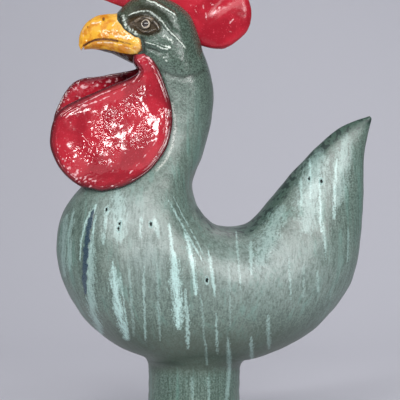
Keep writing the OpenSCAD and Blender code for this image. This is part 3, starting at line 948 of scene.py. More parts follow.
def coil(name, table, side, section):
    """A section carried along the rows of a table, with its ends drawn to points: across the
    path on the skin by the half width, and along the skin's normal by the height."""
    row = row_at(np.array(table) * ROW_UNITS, np.linspace(0, len(table) - 1, COIL_RINGS))
    point, normal = on_head(row[:, 0:2], side)
    along = unit(np.gradient(point, axis=0))
    across = unit(np.cross(along, normal))
    up = np.cross(across, along)
    up = up * np.sign((up * normal).sum(axis=1, keepdims=True))
    wide = across[:, None, :] * (section[None, :, 0] * row[:, 2, None])[..., None]
    high = up[:, None, :] * (section[None, :, 1] * row[:, 3, None])[..., None]
    rings = point[:, None, :] + wide + high
    rings = rings + up[:, None, :] * unevenness(rings, COIL_UNEVEN)[..., None]
    return ring_piece(name, rings)


COILS = [("brow", BROW_ROWS, bell_section), ("upper_lid", UPPER_LID_ROWS, round_section),
         ("lower_lid", LOWER_LID_ROWS, round_section)]
coils = {}
for side, word in SIDES:
    for kind, rows, section in COILS:
        node = f"{word}_{kind}"
        coils[node] = coil(node + "_coil", rows, side, section(COIL_SIDES))

# %% [markdown]
# ## The eyes
# An eye is a pellet pressed into its socket, with a ring stamped into it by a small tube. It is
# a profile turned round the way that the eye looks: the dome, the ring and the pupil.

# %% Eyes
EYE_PIXEL = [(145.7, 24)]
EYE_R = 3.8 * MM
EYE_SIDES = 64
EYE_STANDS_OUT = 0.6 * MM
RING_AT = 0.84
RING_SIZE = 0.08
PUPIL_EDGE = 0.78
PUPIL_DEPTH = 0.1
PUPIL_ROUNDING = 0.12
EYE_RINGS = 70


def eye_profile():
    """Distance from the eye's axis and height along it, from the back of the pellet to the
    pupil: a ball whose front has a thin raised ring and a pupil that is pressed in."""
    angle = np.linspace(math.pi - 0.05, 0.04, EYE_RINGS)
    radius = np.sin(angle)
    front = angle < math.pi / 2
    ring = RING_SIZE * bell(radius - RING_AT, RING_SIZE) * front
    press = PUPIL_DEPTH * soft_step(PUPIL_EDGE - radius, 0, PUPIL_ROUNDING) * front
    return join(radius, np.cos(angle) + ring - press) * EYE_R


def eye(name, side):
    """The profile carried round the skin's normal. Each vertex keeps its distance from the
    axis as a share of the radius, and whether it is on the front half."""
    point, normal = on_head(EYE_PIXEL, side)
    axis = normal[0]
    middle = point[0] + axis * EYE_STANDS_OUT
    right_way = unit(np.cross(axis, [0, 0, 1]))
    up_way = np.cross(right_way, axis)
    turn = turns(EYE_SIDES)
    ring = np.cos(turn)[:, None] * right_way + np.sin(turn)[:, None] * up_way
    shape = eye_profile()
    rings = middle + shape[:, 0, None, None] * ring[None] + shape[:, 1, None, None] * axis
    made = ring_piece(name, rings)
    off = coordinates(made) - middle
    height = off @ axis
    note(made, from_pupil=np.linalg.norm(off - height[:, None] * axis, axis=1) / EYE_R,
         in_front=height > 0)
    return made


left_eye = eye("left_eye_pellet", LEFT)
right_eye = eye("right_eye_pellet", RIGHT)

# %% [markdown]
# ## What the glaze is told
# Glaze ran down this figure in the kiln and left pale runs, one dark blue run and pinholes. A
# run is a line in the photograph with a width. Each vertex keeps how deep inside a run it lies,
# and the glaze cuts that number off with a little noise, which gives a torn edge. On the far
# side the runs lie a few millimetres off, and towards the middle plane they fade. Over the
# fullest parts of the body a paler grey is a painted sheen. A dark band runs along the back of
# the tail, and where it runs on over the saddle it is painted shade. One fine pale line down the
# neck, beside the wattle, is a painted highlight.

# %% Pale runs, each a line with a half width in pixels and a strength
PALE_RUNS = [
    ([(97, 204), (91, 214), (87.5, 228)], 2.2, 0.75),
    ([(92, 236), (90, 262), (89, 288), (93, 312), (101, 333)], 5.0, 0.5),
    ([(109, 204), (105, 222), (103, 244)], 2.2, 0.6),
    ([(112.5, 262), (114.5, 284), (117.5, 306), (122, 322), (127, 338)], 4.6, 0.85),
    ([(119.5, 268), (123.5, 300), (128.5, 334)], 0.9, 0.6),
    ([(90, 212), (85, 224), (81, 240), (80, 262)], 1.0, 0.8),
    ([(97, 212), (94, 224), (91.5, 242), (89.5, 264)], 1.3, 0.8),
    ([(144, 262), (144, 300), (145.5, 342)], 1.4, 0.45),
    ([(169, 222), (171.5, 244), (173.5, 266)], 1.8, 0.75),
    ([(173, 250), (175.5, 276), (177.5, 300), (178.5, 326)], 5.6, 0.95),
    ([(318, 146), (313, 186), (307, 228)], 13, 0.32),
    ([(347, 134), (342, 168), (338, 202)], 9, 0.3),
    ([(283, 206), (270, 234), (260, 264)], 9, 0.32),
    ([(117, 190), (119, 214), (120, 240)], 8, 0.4),
    ([(185, 290), (187.5, 318), (188, 348)], 2.4, 0.6),
    ([(184, 232), (190, 250), (194, 270), (196, 294)], 2.6, 0.9),
    ([(166, 196), (175, 212), (184, 228), (194, 246), (204, 264)], 1.1, 0.7),
    ([(171, 192), (182, 214), (194, 236), (203, 254)], 0.8, 0.5),
    ([(208, 250), (212, 270), (215, 297)], 1.8, 0.7),
    ([(216, 312), (217.5, 354)], 1.5, 0.45),
    ([(228, 336), (229.5, 368), (226, 402)], 2.4, 0.45),
    ([(205, 338), (207, 366)], 1.4, 0.3),
    ([(192, 376), (193, 402)], 1.6, 0.35),
    ([(208, 376), (209, 402)], 1.6, 0.35),
    ([(236, 230), (238, 256), (241, 290)], 1.3, 0.5),
    ([(251, 240), (251, 274)], 2.4, 0.5),
    ([(259, 246), (259, 266)], 1.6, 0.35),
    ([(251, 336), (252, 362)], 2.2, 0.42),
    ([(268, 314), (269, 348)], 2.4, 0.35),
    ([(129, 266), (131, 300), (134, 336)], 1.6, 0.25),
    ([(157, 262), (158, 300), (160, 340)], 1.8, 0.25),
    ([(200, 292), (203, 318), (204, 340)], 1.4, 0.25),
    ([(229, 262), (230, 300), (230, 330)], 1.4, 0.2),
    ([(304, 262), (303, 300)], 1.4, 0.22),
    ([(310, 158), (311, 180), (310, 208)], 3.4, 0.75),
    ([(319, 168), (320, 200), (321, 232)], 1.5, 0.85),
    ([(323, 222), (326, 262)], 1.1, 0.6),
    ([(337, 158), (335, 190), (334, 218)], 2.6, 0.7),
    ([(301, 176), (301, 206)], 2.0, 0.55),
    ([(289, 256), (291, 300)], 1.3, 0.45),
    ([(317, 268), (318, 292)], 1.3, 0.4),
    ([(348, 226), (348, 262)], 1.3, 0.4),
    ([(67, 214), (63, 244), (65, 276)], 3.6, 0.35),
    ([(74, 208), (69, 236), (70, 270)], 2.4, 0.4),
    ([(154, 216), (158, 238)], 2.6, 0.5),
    ([(141, 215), (141, 238)], 1.6, 0.5),
]
print("pale runs:", len(PALE_RUNS))

# %% Other marks on the body and the tail
DARK_RUN = [(93.5, 209), (90, 222), (87, 240), (85, 260), (84.5, 278), (85.5, 293)]
DARK_RUN_W = 3.2
PIT_PLACES = [(119, 223), (117.5, 229), (150.5, 224), (106, 209), (207, 280), (321, 181), (309, 178)]
# The tail's dark band: real dark glaze along the tail's back, and painted shade where it runs on over
# the saddle.
TAIL_BAND_AND_SADDLE_SHADE = [(374, 116), (352, 124), (332, 137), (308, 160), (281, 193), (262, 216), (244, 231),
             (228, 233), (212, 226), (203, 210)]
TAIL_BAND_AND_SADDLE_SHADE_W = 8.5
# Places where a paler grey is painted as sheen: each a middle and a half size in pixels.
PAINTED_SHEEN_PLACES = [((128, 214), (34, 28)), ((148, 252), (30, 32)), ((268, 266), (72, 40)),
               ((310, 176), (18, 28))]
# A painted highlight: a fine pale line down the neck beside the wattle's back edge.
NECK_HIGHLIGHT_LINE = [(172, 103), (174.5, 114), (175.5, 127), (172.5, 146), (166, 160), (157, 170)]
NECK_HIGHLIGHT_W = 1
FAR_SHIFT = (9, -6)
print("pinholes:", len(PIT_PLACES))

# %% [markdown]
# On the head, pale lines on the crests are painted highlights, partly a real break of the glaze,
# and dark lines in the creases and along the step at the beak's base are painted shade. These
# marks are lines too, each with a half width in pixels and a strength.

# %% Painted highlights on the crests and painted shade in the creases of the head
BEAK_EDGE = [(117, 14), (120.5, 18.5), (121.5, 24), (123.5, 29), (128.5, 32.5), (134.5, 35.5),
             (139, 39.5), (140.8, 43.5), (140.5, 49), (138.5, 54)]
# Painted highlights: pale lines along the crests, partly a real break of the glaze.
CREST_HIGHLIGHT_LINES = [
    ([(125.5, 16.5), (133, 13), (140, 11.3), (147, 10.8), (153, 13), (157, 17), (162, 21.5),
      (166, 27), (170.5, 32.5), (175, 36), (182, 44), (188, 51)], 1.0, 1.0),
    ([(150, 12), (157, 17), (162, 21.5), (166, 27), (170.5, 33)], 1.5, 0.8),
    ([(145, 0), (155, 2.5), (161, 6), (167, 9.5), (172.5, 13), (176, 15)], 1.0, 0.9),
    ([(173, 16.5), (175.5, 21)], 0.7, 0.6),
    ([(142.5, 41.5), (148, 43), (157, 45.5), (162, 48.5), (169, 49.5)], 0.9, 0.9),
    ([(123, 14), (124.5, 20), (126, 26), (132, 31), (138, 36)], 2.8, 0.7),
    ([(163, 34.5), (168, 37.5), (174, 43.5)], 1.9, 0.8),
    ([(165, 45.5), (171, 48)], 1.8, 0.85),
    ([(163, 57), (166, 60), (169, 64)], 2.0, 0.5),
    ([(133, 18.5), (139, 16), (145, 15.5), (152, 16.5)], 0.6, 0.35),
    ([(149.5, 36), (159, 32)], 0.6, 0.55),
    ([(144, 37), (149, 36.5)], 0.6, 0.4),
]
# Painted shade: dark lines in the creases and along the step at the beak's base.
CREASE_SHADE_LINES = [
    ([(128, 18.5), (135, 15.6), (146, 13.5), (152, 15.8), (156, 20), (163, 28)], 1.3, 0.7),
    ([(133, 9), (142, 6.5), (152, 7.5), (160, 11.5), (167, 19), (173, 28)], 2.6, 0.6),
    ([(141, 33), (148, 34.8), (155, 33), (159.5, 29.5)], 1.0, 0.8),
    ([(143, 45.5), (151, 48.5), (161, 52.5)], 1.6, 0.6),
    ([(160, 69), (171, 75), (183, 77.5), (198, 74), (206, 69)], 1.7, 0.55),
    (BEAK_EDGE, 1.3, 0.95),
    ([(140, 35.5), (143.8, 40), (144.8, 46), (144, 52), (142.5, 56)], 1.7, 0.85),
]
OLIVE_MIDDLE = (141, 12)
OLIVE_SIZE = (26, 17)
print("crests and creases:", len(CREST_HIGHLIGHT_LINES), len(CREASE_SHADE_LINES))


# %% How a mark and a run are read
MARK_ENDS = (-0.01, 0.06)
RUN_TAPER = (4.5, 1.06, 0.05)


def run_depth(places, line, half_width):
    """How deep a place lies in a run: 1 on its line and 0 on its edge. The run thins out
    towards both ends, by the root of a parabola of the share along it."""
    gap, share = line_distance(places, line)
    steep, end, least = RUN_TAPER
    taper = np.sqrt(np.clip(steep * share * (end - share) + least, least, 1))
    return 1 - gap / (half_width * taper)


def marked(places, marks):
    """The strongest of several marks at each place: each a bell round a line, of some width
    and strength, that dies out at the line's ends."""
    best = np.zeros(len(places))
    for line, half_width, strength in marks:
        gap, share = line_distance(places, line)
        best = np.maximum(best, strength * fading(share, MARK_ENDS) * bell(gap, half_width))
    return best


middle_of_run = np.array(DARK_RUN[2:3], float)
print("depth in the middle of the dark run:", run_depth(middle_of_run, DARK_RUN, DARK_RUN_W)[0])

# %% [markdown]
# The fine streaks of the green glaze follow a fan of lines that close in on the pedestal below
# the body's widest level. So each vertex also keeps its place in a straightened space, where
# those lines stand upright.

# %% The fan of streaks
WIDEST_Z = 160 * MM
CLOSING_H = 98 * MM
STEM_SHARE = 0.4
STEM_STREAKS = 3


def fan(points):
    """x and y over the share of the body's width that is left at that height: a quarter ellipse
    below the widest level. Height counts more on the stem, where the streaks are shorter."""
    below = np.clip((WIDEST_Z - points[:, 2]) / CLOSING_H, 0, 1)
    share = np.maximum(np.sqrt(1 - below ** 2), STEM_SHARE)
    height = points[:, 2] + STEM_STREAKS * np.minimum(points[:, 2] - PEDESTAL_H, 0)
    return join(points[:, 0] / share, points[:, 1] / share, height)


print("the stem's edge, straightened:", fan(np.array([[STEM_R, 0, PEDESTAL_H]]))[0])


# %% What the green pieces keep
HEADWARDS_X = 45 * MM
HEADWARDS_Z = (210 * MM, 345 * MM)
FAR_SIDE = (-8 * MM, 8 * MM)
OFF_MIDDLE = (2 * MM, 10 * MM)
SOCKET_STAIN = (-0.25, 0.1)
DEPTH_LIMITS = (-3, 1)
RUN_STRENGTHS = np.array([strength for _, _, strength in PALE_RUNS])

for piece in trunk + [pedestal, coils["left_brow"], coils["right_brow"]]:
    points = coordinates(piece)
    near = seen(points)
    far = near + soft_step(points[:, 1], *FAR_SIDE)[:, None] * FAR_SHIFT
    off_middle = soft_step(np.abs(points[:, 1]), *OFF_MIDDLE)
    depths = [run_depth(far, line, half_width) for line, half_width, _ in PALE_RUNS]
    # full: how strongly the painted sheen lies on each vertex.
    full = [spot(far, middle, size) for middle, size in PAINTED_SHEEN_PLACES]
    headwards = soft_step(points[:, 2], *HEADWARDS_Z) * (points[:, 0] < HEADWARDS_X)
    note(piece, pale_run=np.clip(np.max(depths, axis=0), *DEPTH_LIMITS),
         run_strength=RUN_STRENGTHS[np.argmax(depths, axis=0)] * off_middle,
         dark_run=np.clip(run_depth(far, DARK_RUN, DARK_RUN_W), *DEPTH_LIMITS),
         tail_band=bell(line_distance(far, TAIL_BAND_AND_SADDLE_SHADE)[0], TAIL_BAND_AND_SADDLE_SHADE_W),
         full=np.max(full, axis=0),
         neck_line=bell(line_distance(near, NECK_HIGHLIGHT_LINE)[0], NECK_HIGHLIGHT_W),
         socket=soft_step(socket_share(near), *SOCKET_STAIN),
         crest=marked(near, CREST_HIGHLIGHT_LINES), crease=marked(near, CREASE_SHADE_LINES),
         olive=spot(near, OLIVE_MIDDLE, OLIVE_SIZE), headwards=headwards, fan=fan(points))
    print(f"{piece.name}: {(headwards > 0.5).mean():.0%} of its vertices on the dark end")

# %% [markdown]
# ## Where the wet glaze shines
# The red and the yellow glaze are wet, so a window shows in them as short lines, and small
# ripples break it into sparks. Those places are measured in the photograph. A glint is a line of
# painted highlight, a paler colour where the window's reflection shows, and a spark line is the
# middle of a rippled patch.

# %% Marks on the beak
MOUTH_MARKS = [([(82, 46.5), (88, 42.8), (95, 40), (103, 39.2), (112, 40), (120, 41.8)], 1.5, 0.9),
               ([(112, 40), (120, 41.8), (132, 44.7)], 1.3, 0.6),
               ([(136, 33.8), (140.2, 36.2), (142.5, 41), (143, 47.5), (141.8, 51.2), (138, 55.5)], 2.7,
                1.0)]
# The lower beak's underside is painted as shade below this line.
KEEL_SHADE_LINE = np.array([(90, 50), (100, 48), (107, 48.5), (113, 49.7), (121, 51.5), (130, 53), (140, 52.5)])
BEAK_GLINTS = [
    ([(91, 23.5), (96, 23), (102, 21.5)], 1.3, 0.9),
    ([(112, 27), (115, 23), (118, 20)], 1.5, 0.8),
    ([(114, 36), (120, 36.5), (129, 39)], 2.0, 0.95),
    ([(122, 30), (128, 34), (136, 40)], 1.6, 0.7),
    ([(96, 43), (104, 42.2), (112, 42.6), (124, 45.5)], 0.9, 0.85),
    ([(124, 47.5), (131, 48.5), (137, 46)], 1.0, 0.75),
    ([(83.5, 29), (83, 34), (84, 39)], 0.9, 0.6),
    ([(103, 29), (110, 32)], 1.4, 0.6),
]
BEAK_ROOT_W = 6
KEEL_SHADE_W = (-0.5, 2.5)
NOSTRIL_SIZE = (1.5, 2)
SMALL_PIT_SIZE = (0.9, 1.8)

for piece in (upper_beak, lower_beak):
    places = seen(coordinates(piece))
    below = places[:, 1] - np.interp(places[:, 0], KEEL_SHADE_LINE[:, 0], KEEL_SHADE_LINE[:, 1])
    holes = [spot(places, NOSTRIL, NOSTRIL_SIZE), 0.6 * spot(places, SMALL_PIT, SMALL_PIT_SIZE)]
    note(piece, mouth=marked(places, MOUTH_MARKS),
         root=bell(line_distance(places, BEAK_EDGE)[0], BEAK_ROOT_W),
         keel=soft_step(below, *KEEL_SHADE_W) * (piece is lower_beak),
         glint=marked(places, BEAK_GLINTS), nostril=np.max(holes, axis=0))
print("marks on the beak:", len(MOUTH_MARKS) + len(BEAK_GLINTS))

# %% Marks on the comb and the wattles
GLINT_LINES = [
    ([(140, 73), (136, 79), (130.6, 84), (120.6, 90.4), (112, 94.8)], 0.8, 0.75),
    ([(112, 89.8), (101, 94.2), (87, 101.2), (76, 106)], 0.7, 0.8),
    ([(112, 94.8), (101, 100), (87.5, 104.8), (75, 111), (68.8, 114.8), (62, 122)], 0.8, 0.85),
    ([(57, 138), (58, 156)], 0.7, 0.6),
    ([(60, 160), (68, 172), (80, 182)], 0.8, 0.7),
    ([(158, 138), (151, 148), (140, 162), (126, 178), (114, 186), (96, 187)], 0.7, 0.55),
    ([(166, 106), (168, 124), (165, 142)], 0.9, 0.6),
    ([(139, 60), (143, 56.5), (149, 58), (153, 63)], 1.3, 0.75),
    ([(145, 65), (149, 62.5), (153, 68)], 1.1, 0.65),
    ([(136.5, 64), (140, 68), (140, 74)], 1.1, 0.6),
    ([(62, 156), (71, 170), (83, 179), (97, 184)], 6.0, 0.5),
    ([(104, 152), (109, 162), (114, 172)], 3.0, 0.5),
]
FAR_GLINTS = [
    ([(58, 108), (64, 98), (74, 89), (88, 84), (104, 82), (122, 78)], 3.5, 0.42),
    ([(62, 106), (76, 98), (92, 92)], 4.0, 0.3),
]
COMB_GLINTS = [
    ([(201, 2), (205, 12), (207, 21)], 0.9, 0.6),
    ([(210, 2), (216, 14)], 0.9, 0.55),
    ([(233, 44.5), (239, 42.5), (244, 38), (247, 31)], 1.0, 0.65),
    ([(211, 18), (216, 12), (222, 7)], 2.6, 0.5),
    ([(229, 24), (234, 19)], 1.3, 0.5),
    ([(188, 0), (192, 6), (198, 15)], 1.0, 0.5),
]
SPARK_LINES = [
    ([(148, 90), (128, 104), (110, 120), (94, 138), (76, 158)], 11.5),
    ([(138, 124), (146, 132), (130, 147)], 9),
    ([(100, 150), (122, 147)], 9),
    ([(138, 56), (152, 66)], 5),
    ([(160, 102), (161, 116)], 5),
    ([(88, 158), (104, 164), (122, 168)], 9),
    ([(60, 152), (71, 169), (92, 182), (108, 184)], 9),
    ([(58, 112), (76, 101), (100, 90), (128, 80)], 4),
]
POCKET = (124, 76)
POCKET_SIZE = (15, 7)
FAR_SPARKS = 0.7
NO_SPARKS = -1


def note_shine(piece, glints, sparks):
    """Keeps the glints of a red piece, how far it is rippled, and its shaded pocket."""
    places = seen(coordinates(piece))
    if sparks is SPARK_LINES:
        sparks = marked(places, [(line, half_width, 1) for line, half_width in SPARK_LINES])
    pocket = spot(places, POCKET, POCKET_SIZE) * (piece is right_wattle)
    note(piece, glint=marked(places, glints), sparks=sparks, pocket=pocket)


note_shine(left_wattle, GLINT_LINES, SPARK_LINES)
note_shine(right_wattle, FAR_GLINTS, FAR_SPARKS)
note_shine(comb, COMB_GLINTS, NO_SPARKS)
print("glints on the left wattle:", len(GLINT_LINES))

# %% [markdown]
# ## Glazes
# Each glaze is a Principled shader with its colour, roughness and bump worked out by nodes in
# object coordinates, so it lies the same on every piece. A node tree is long to write by hand.
# So a node's output is wrapped as a value that can be added, subtracted and multiplied, and a
# colour is laid on in coats, each over a share of what is there.

# %% Values worked out by nodes
def feed(socket, value):
    """Gives a socket a number, a colour or a link from another node."""
    if isinstance(value, Value):
        socket.id_data.links.new(value.socket, socket)
    else:
        socket.default_value = value


def add(tree, kind, inputs, output=0, **settings):
    """Adds a node, feeds its inputs, and returns one of its outputs."""
    made = tree.nodes.new(kind)
    for key, value in settings.items():
        setattr(made, key, value)
    for key, value in inputs.items():
        feed(made.inputs[key], value)
    return Value(made.outputs[output])


class Value:
    """The output of a node. Arithmetic with it adds Math nodes."""

    def __init__(self, socket):
        self.socket = socket
        self.tree = socket.id_data

    def math(self, operation, other):
        """A Math node on this value and a number or another value."""
        return add(self.tree, "ShaderNodeMath", {0: self, 1: other}, operation=operation)

    def __add__(self, other):
        return self.math("ADD", other)

    def __sub__(self, other):
        return self.math("SUBTRACT", other)

    def __mul__(self, other):
        return self.math("MULTIPLY", other)

    def __rsub__(self, other):
        return self * -1 + other

    def centred(self, weight):
        """A noise from 0 to 1 as a number around zero: (noise - 0.5) * weight."""
        return (self - 0.5) * weight

    def ramp(self, low, high, to_low=0.0, to_high=1.0):
        """A smooth step of the value from low to high."""
        ends = {"From Min": low, "From Max": high, "To Min": to_low, "To Max": to_high}
        return add(self.tree, "ShaderNodeMapRange", {"Value": self, **ends},
                   interpolation_type="SMOOTHSTEP")

    def stretched(self, scale):
        """A vector times a scale along each axis."""
        return add(self.tree, "ShaderNodeMapping", {"Vector": self, "Scale": scale})

    def blend(self, first, second):
        """Goes from the first colour to the second as the value goes from 0 to 1."""
        return add(self.tree, "ShaderNodeMix", {0: self, 6: first, 7: second}, 2,
                   data_type="RGBA")


# %% A glaze
class Glaze:
    """A material with its shader, a colour that is laid on in coats, and bumps. Its first
    colour is set as `tint`."""

    def __init__(self, name, **fixed):
        self.material = bpy.data.materials.new(name)
        self.material.use_nodes = True
        self.tree = self.material.node_tree
        self.shader = self.tree.nodes["Principled BSDF"]
        self.place = add(self.tree, "ShaderNodeTexCoord", {}, "Object")
        self.set(**fixed)

    def set(self, **inputs):
        """Feeds inputs of the shader, with _ for each space in a name."""
        for key, value in inputs.items():
            feed(self.shader.inputs[key.replace("_", " ")], value)

    def noise(self, scale, detail=3.0, roughness=0.5, place=None):
        """Noise from 0 to 1, with `scale` waves to a metre, at the object's own place."""
        inputs = {"Vector": place or self.place, "Scale": scale, "Detail": detail,
                  "Roughness": roughness}
        return add(self.tree, "ShaderNodeTexNoise", inputs, "Fac")

    def kept(self, name, output="Fac"):
        """What each vertex of the piece keeps under a name."""
        return add(self.tree, "ShaderNodeAttribute", {}, output, attribute_name=name)

    def coat(self, share, tint):
        """Lays a colour over a share of the colour so far."""
        self.tint = share.blend(self.tint, tint)

    def finish(self, *bumps):
        """Feeds the colour and chains one Bump node for each height, with its depth in metres
        and its strength. Returns the material."""
        self.set(Base_Color=self.tint)
        normal = {}
        for height, distance, strength in bumps:
            inputs = {"Height": height, "Distance": distance, "Strength": strength, **normal}
            normal = {"Normal": add(self.tree, "ShaderNodeBump", inputs)}
        self.set(**normal)
        print(f"{self.material.name}: {len(self.tree.nodes)} nodes")
        return self.material


def colour(red, green, blue):
    """A colour given as it looks on a screen, from 0 to 255, as the linear values of a shader."""
    share = np.array([red, green, blue]) / 255
    linear = np.where(share > 0.04045, ((share + 0.055) / 1.055) ** 2.4, share / 12.92)
    return (*linear.tolist(), 1.0)


# %% [markdown]
# ## Green glaze
# The green glaze is satin and full of fine grain. Streaks come from noise that is stretched along
# the fan. Pinholes are crisp and few, so each is a distance from a place on the skin, which is
# looked up in the mesh by its place in the photograph.

# %% Pinholes
UPRIGHT = (1, 1, 0.5)
LEFT_SIDE = -5 * MM
OUT_OF_SIGHT = 1e3
OUTER_WEIGHT = 0.2


def nearest_skin(pixel):
    """The vertex of the left side of the trunk that shows nearest to a pixel."""
    best = None
    for piece in trunk:
        points = coordinates(piece)
        off = np.linalg.norm(seen(points) - pixel, axis=1)
        off = off + (points[:, 1] > LEFT_SIDE) * OUT_OF_SIGHT
        i = int(np.argmin(off - np.abs(points[:, 1]) / MM * OUTER_WEIGHT))
        if best is None or off[i] < best[0]:
            best = (off[i], tuple(points[i]))
    return best[1]


def pit_distance(place, centres):
    """Distance from the nearest pinhole, in metres. Heights count half, so a hole is upright."""
    place = place.stretched(UPRIGHT)
    nearest = None
    for centre in np.multiply(centres, UPRIGHT).tolist():
        gap = add(place.tree, "ShaderNodeVectorMath", {0: place, 1: centre}, "Value",
                  operation="DISTANCE")
        nearest = nearest.math("MINIMUM", gap) if nearest else gap
    return nearest


pit_centres = [nearest_skin(pixel) for pixel in PIT_PLACES]
for centre in pit_centres:
    print("pinhole at", np.round(np.array(centre) / MM, 1), "mm")

# %% Green glaze
GREEN_DEEP = colour(62, 83, 72)
GREEN_PALE = colour(114, 136, 125)
WARM_GREY = colour(122, 127, 119)
PAINTED_SHEEN_GREY = colour(156, 172, 168)
BAND_AND_SADDLE_SHADE_GREEN = colour(52, 76, 66)
TURQUOISE = colour(96, 148, 136)
PALE_RUN = colour(188, 222, 216)
DARK_BLUE = colour(40, 66, 80)
BELLY_SHADE = colour(74, 84, 72)
SPOT_COLOUR = colour(28, 44, 42)
PIT_SHADE_COLOUR = colour(12, 20, 20)
HEAD_DARK = colour(46, 58, 48)
HEAD_GREEN = colour(92, 114, 101)
OLIVE = colour(58, 58, 38)
SOCKET_BROWN = colour(60, 44, 26)
CREST_HIGHLIGHT_PALE = colour(208, 218, 206)
CREASE_SHADE_DARK = colour(28, 30, 22)
NECK_HIGHLIGHT_COLOUR = colour(212, 216, 206)
STREAK = (1, 1, 0.018)
RILL = (1, 1, 0.02)


def green_glaze(name):
    """Satin green with fine grain and fine streaks down the fan, and a painted sheen of paler grey
    over the full places. It has pale runs with torn edges, one dark run, a dark spotted band along
    the back of the tail that is painted shade where it runs on over the saddle, a painted highlight
    down the neck, and pinholes, each with a painted glint round its rim and painted shade inside.
    Low on the belly, on the collar and on the top of the stem it is painted darker as shade.
    Towards the head it turns olive, dark and glossy, with painted highlights on its crests, partly
    a real pale break of the glaze, and painted shade in its creases."""
    green = Glaze(name, IOR=1.85, Coat_Roughness=0.08)
    kept, coat = green.kept, green.coat
    height = add(green.tree, "ShaderNodeSeparateXYZ", {0: green.place}, "Z")
    flow = kept("fan", "Vector")
    headwards = kept("headwards")
    bodywards = 1 - headwards
    streak = green.noise(560, 2, 0.6, flow.stretched(STREAK))
    rill = green.noise(170, 3, 0.6, flow.stretched(RILL))
    mottle = green.noise(26)
    grain = green.noise(760, 1, 0.7)
    dots = green.noise(240, 2)
    tone = (streak.centred(0.4) * bodywards + 0.5 + rill.centred(0.35) * bodywards
            + mottle.centred(0.1) + grain.centred(0.7)).ramp(0.3, 0.7)
    green.tint = tone.blend(GREEN_DEEP, GREEN_PALE)
    coat(mottle.ramp(0.46, 0.66) * bodywards * 0.22, WARM_GREY)
    coat(rill.ramp(0.52, 0.68) * bodywards * 0.3, TURQUOISE)
    coat(headwards.ramp(0.1, 0.95), tone.blend(HEAD_DARK, HEAD_GREEN))
    coat(kept("olive") * 0.85, OLIVE)
    # Painted shade: darker low on the belly, on the collar and on the top of the stem.
    coat(height.ramp(0.114, 0.076) * height.ramp(0.052, 0.064) * 0.75, BELLY_SHADE)
    # Painted sheen: a paler grey over the full places.
    coat(kept("full") * bodywards * streak.ramp(0.3, 0.6, 0.2, 0.6), PAINTED_SHEEN_GREY)
    band = kept("tail_band")
    # Dark band along the tail's back; over the saddle it is painted shade.
    coat((band + rill.centred(1.2)).ramp(0.2, 0.8) * 0.7, BAND_AND_SADDLE_SHADE_GREEN)
    coat((dots + band * 0.14).ramp(0.64, 0.7) * band.ramp(0.3, 0.7) * 0.8, SPOT_COLOUR)
    torn = streak.centred(2.6) + grain.centred(1.6)
    run = (kept("pale_run") + torn).ramp(-0.4, 1.1) * kept("run_strength") * bodywards
    coat(run, PALE_RUN)
    # Painted highlight: a fine pale line down the neck beside the wattle.
    coat(kept("neck_line") * grain.ramp(0.36, 0.52) * 0.8, NECK_HIGHLIGHT_COLOUR)
    dark = (kept("dark_run") + torn * 0.35 + dots.centred(1.6)).ramp(0.05, 0.5)
    coat(dark, DARK_BLUE)
    pit = pit_distance(green.place, pit_centres) + grain.centred(0.0014) + dots.centred(0.0014)
    hollow = pit.ramp(0.001, 0.0007)
    # Painted glint: a pale ring round each pinhole. Painted shade: near black inside it.
    coat(pit.ramp(0.0009, 0.0012) * pit.ramp(0.0021, 0.0015) * 0.6, PALE_RUN)
    coat(hollow, PIT_SHADE_COLOUR)
    socket = kept("socket")
    coat(socket * 0.9, SOCKET_BROWN)
    # Painted highlights along the crests, partly a real pale break of the glaze.
    crest = (kept("crest") + green.noise(620, 1).centred(1.7)).ramp(0.4, 0.85) * 0.9
    coat(crest, CREST_HIGHLIGHT_PALE)
    # Painted shade along the creases.
    coat(kept("crease"), CREASE_SHADE_DARK)
    open_skin = socket.ramp(0.0, 1.0, 1.0, 0.25)
    rough = headwards.ramp(0.2, 0.9, 0.4, 0.26) + run.math("MAXIMUM", dark) * -0.12
    dulled = (headwards.ramp(0.5, 0.85, 0.5, 0.16) * open_skin * band.ramp(0.0, 1.0, 1.0, 0.4)
              * hollow.ramp(0.0, 1.0, 1.0, 0.1) * height.ramp(0.07, 0.12, 0.45, 1.0))
    lumps = {"Height": green.noise(260, 1, 0.4), "Distance": 0.0009, "Strength": 0.7}
    green.set(Roughness=rough + grain.centred(0.2), Specular_IOR_Level=dulled,
              Coat_Weight=headwards.ramp(0.6, 0.88) * (crest * 0.7 + 0.25) * open_skin,
              Coat_Normal=add(green.tree, "ShaderNodeBump", lumps))
    return green.finish((streak, 0.0002, 0.5), (grain, 0.0003, 0.5),
                        (green.noise(300, 2), 0.0004, 0.3),
                        (pit.ramp(0.0008, 0.0018), 0.0006, 1.0), (dark, 0.0004, 0.8))


trunk_green = green_glaze("satin_green")

# %% [markdown]
# ## Red, yellow and brown glazes
# The red and yellow ones are wet-looking, and their small waves break the lamps' reflections
# into sparks. The comb is duller than the wattles. The eyes and the lids have a clear coat.

# %% Red glaze
RED = colour(184, 36, 52)
RED_DEEP = colour(156, 24, 40)
RED_LIGHT = colour(206, 66, 82)
RED_SHADOW = colour(44, 10, 14)
RED_EDGE_SHADE = colour(58, 10, 18)
RED_GLINT = colour(240, 184, 188)


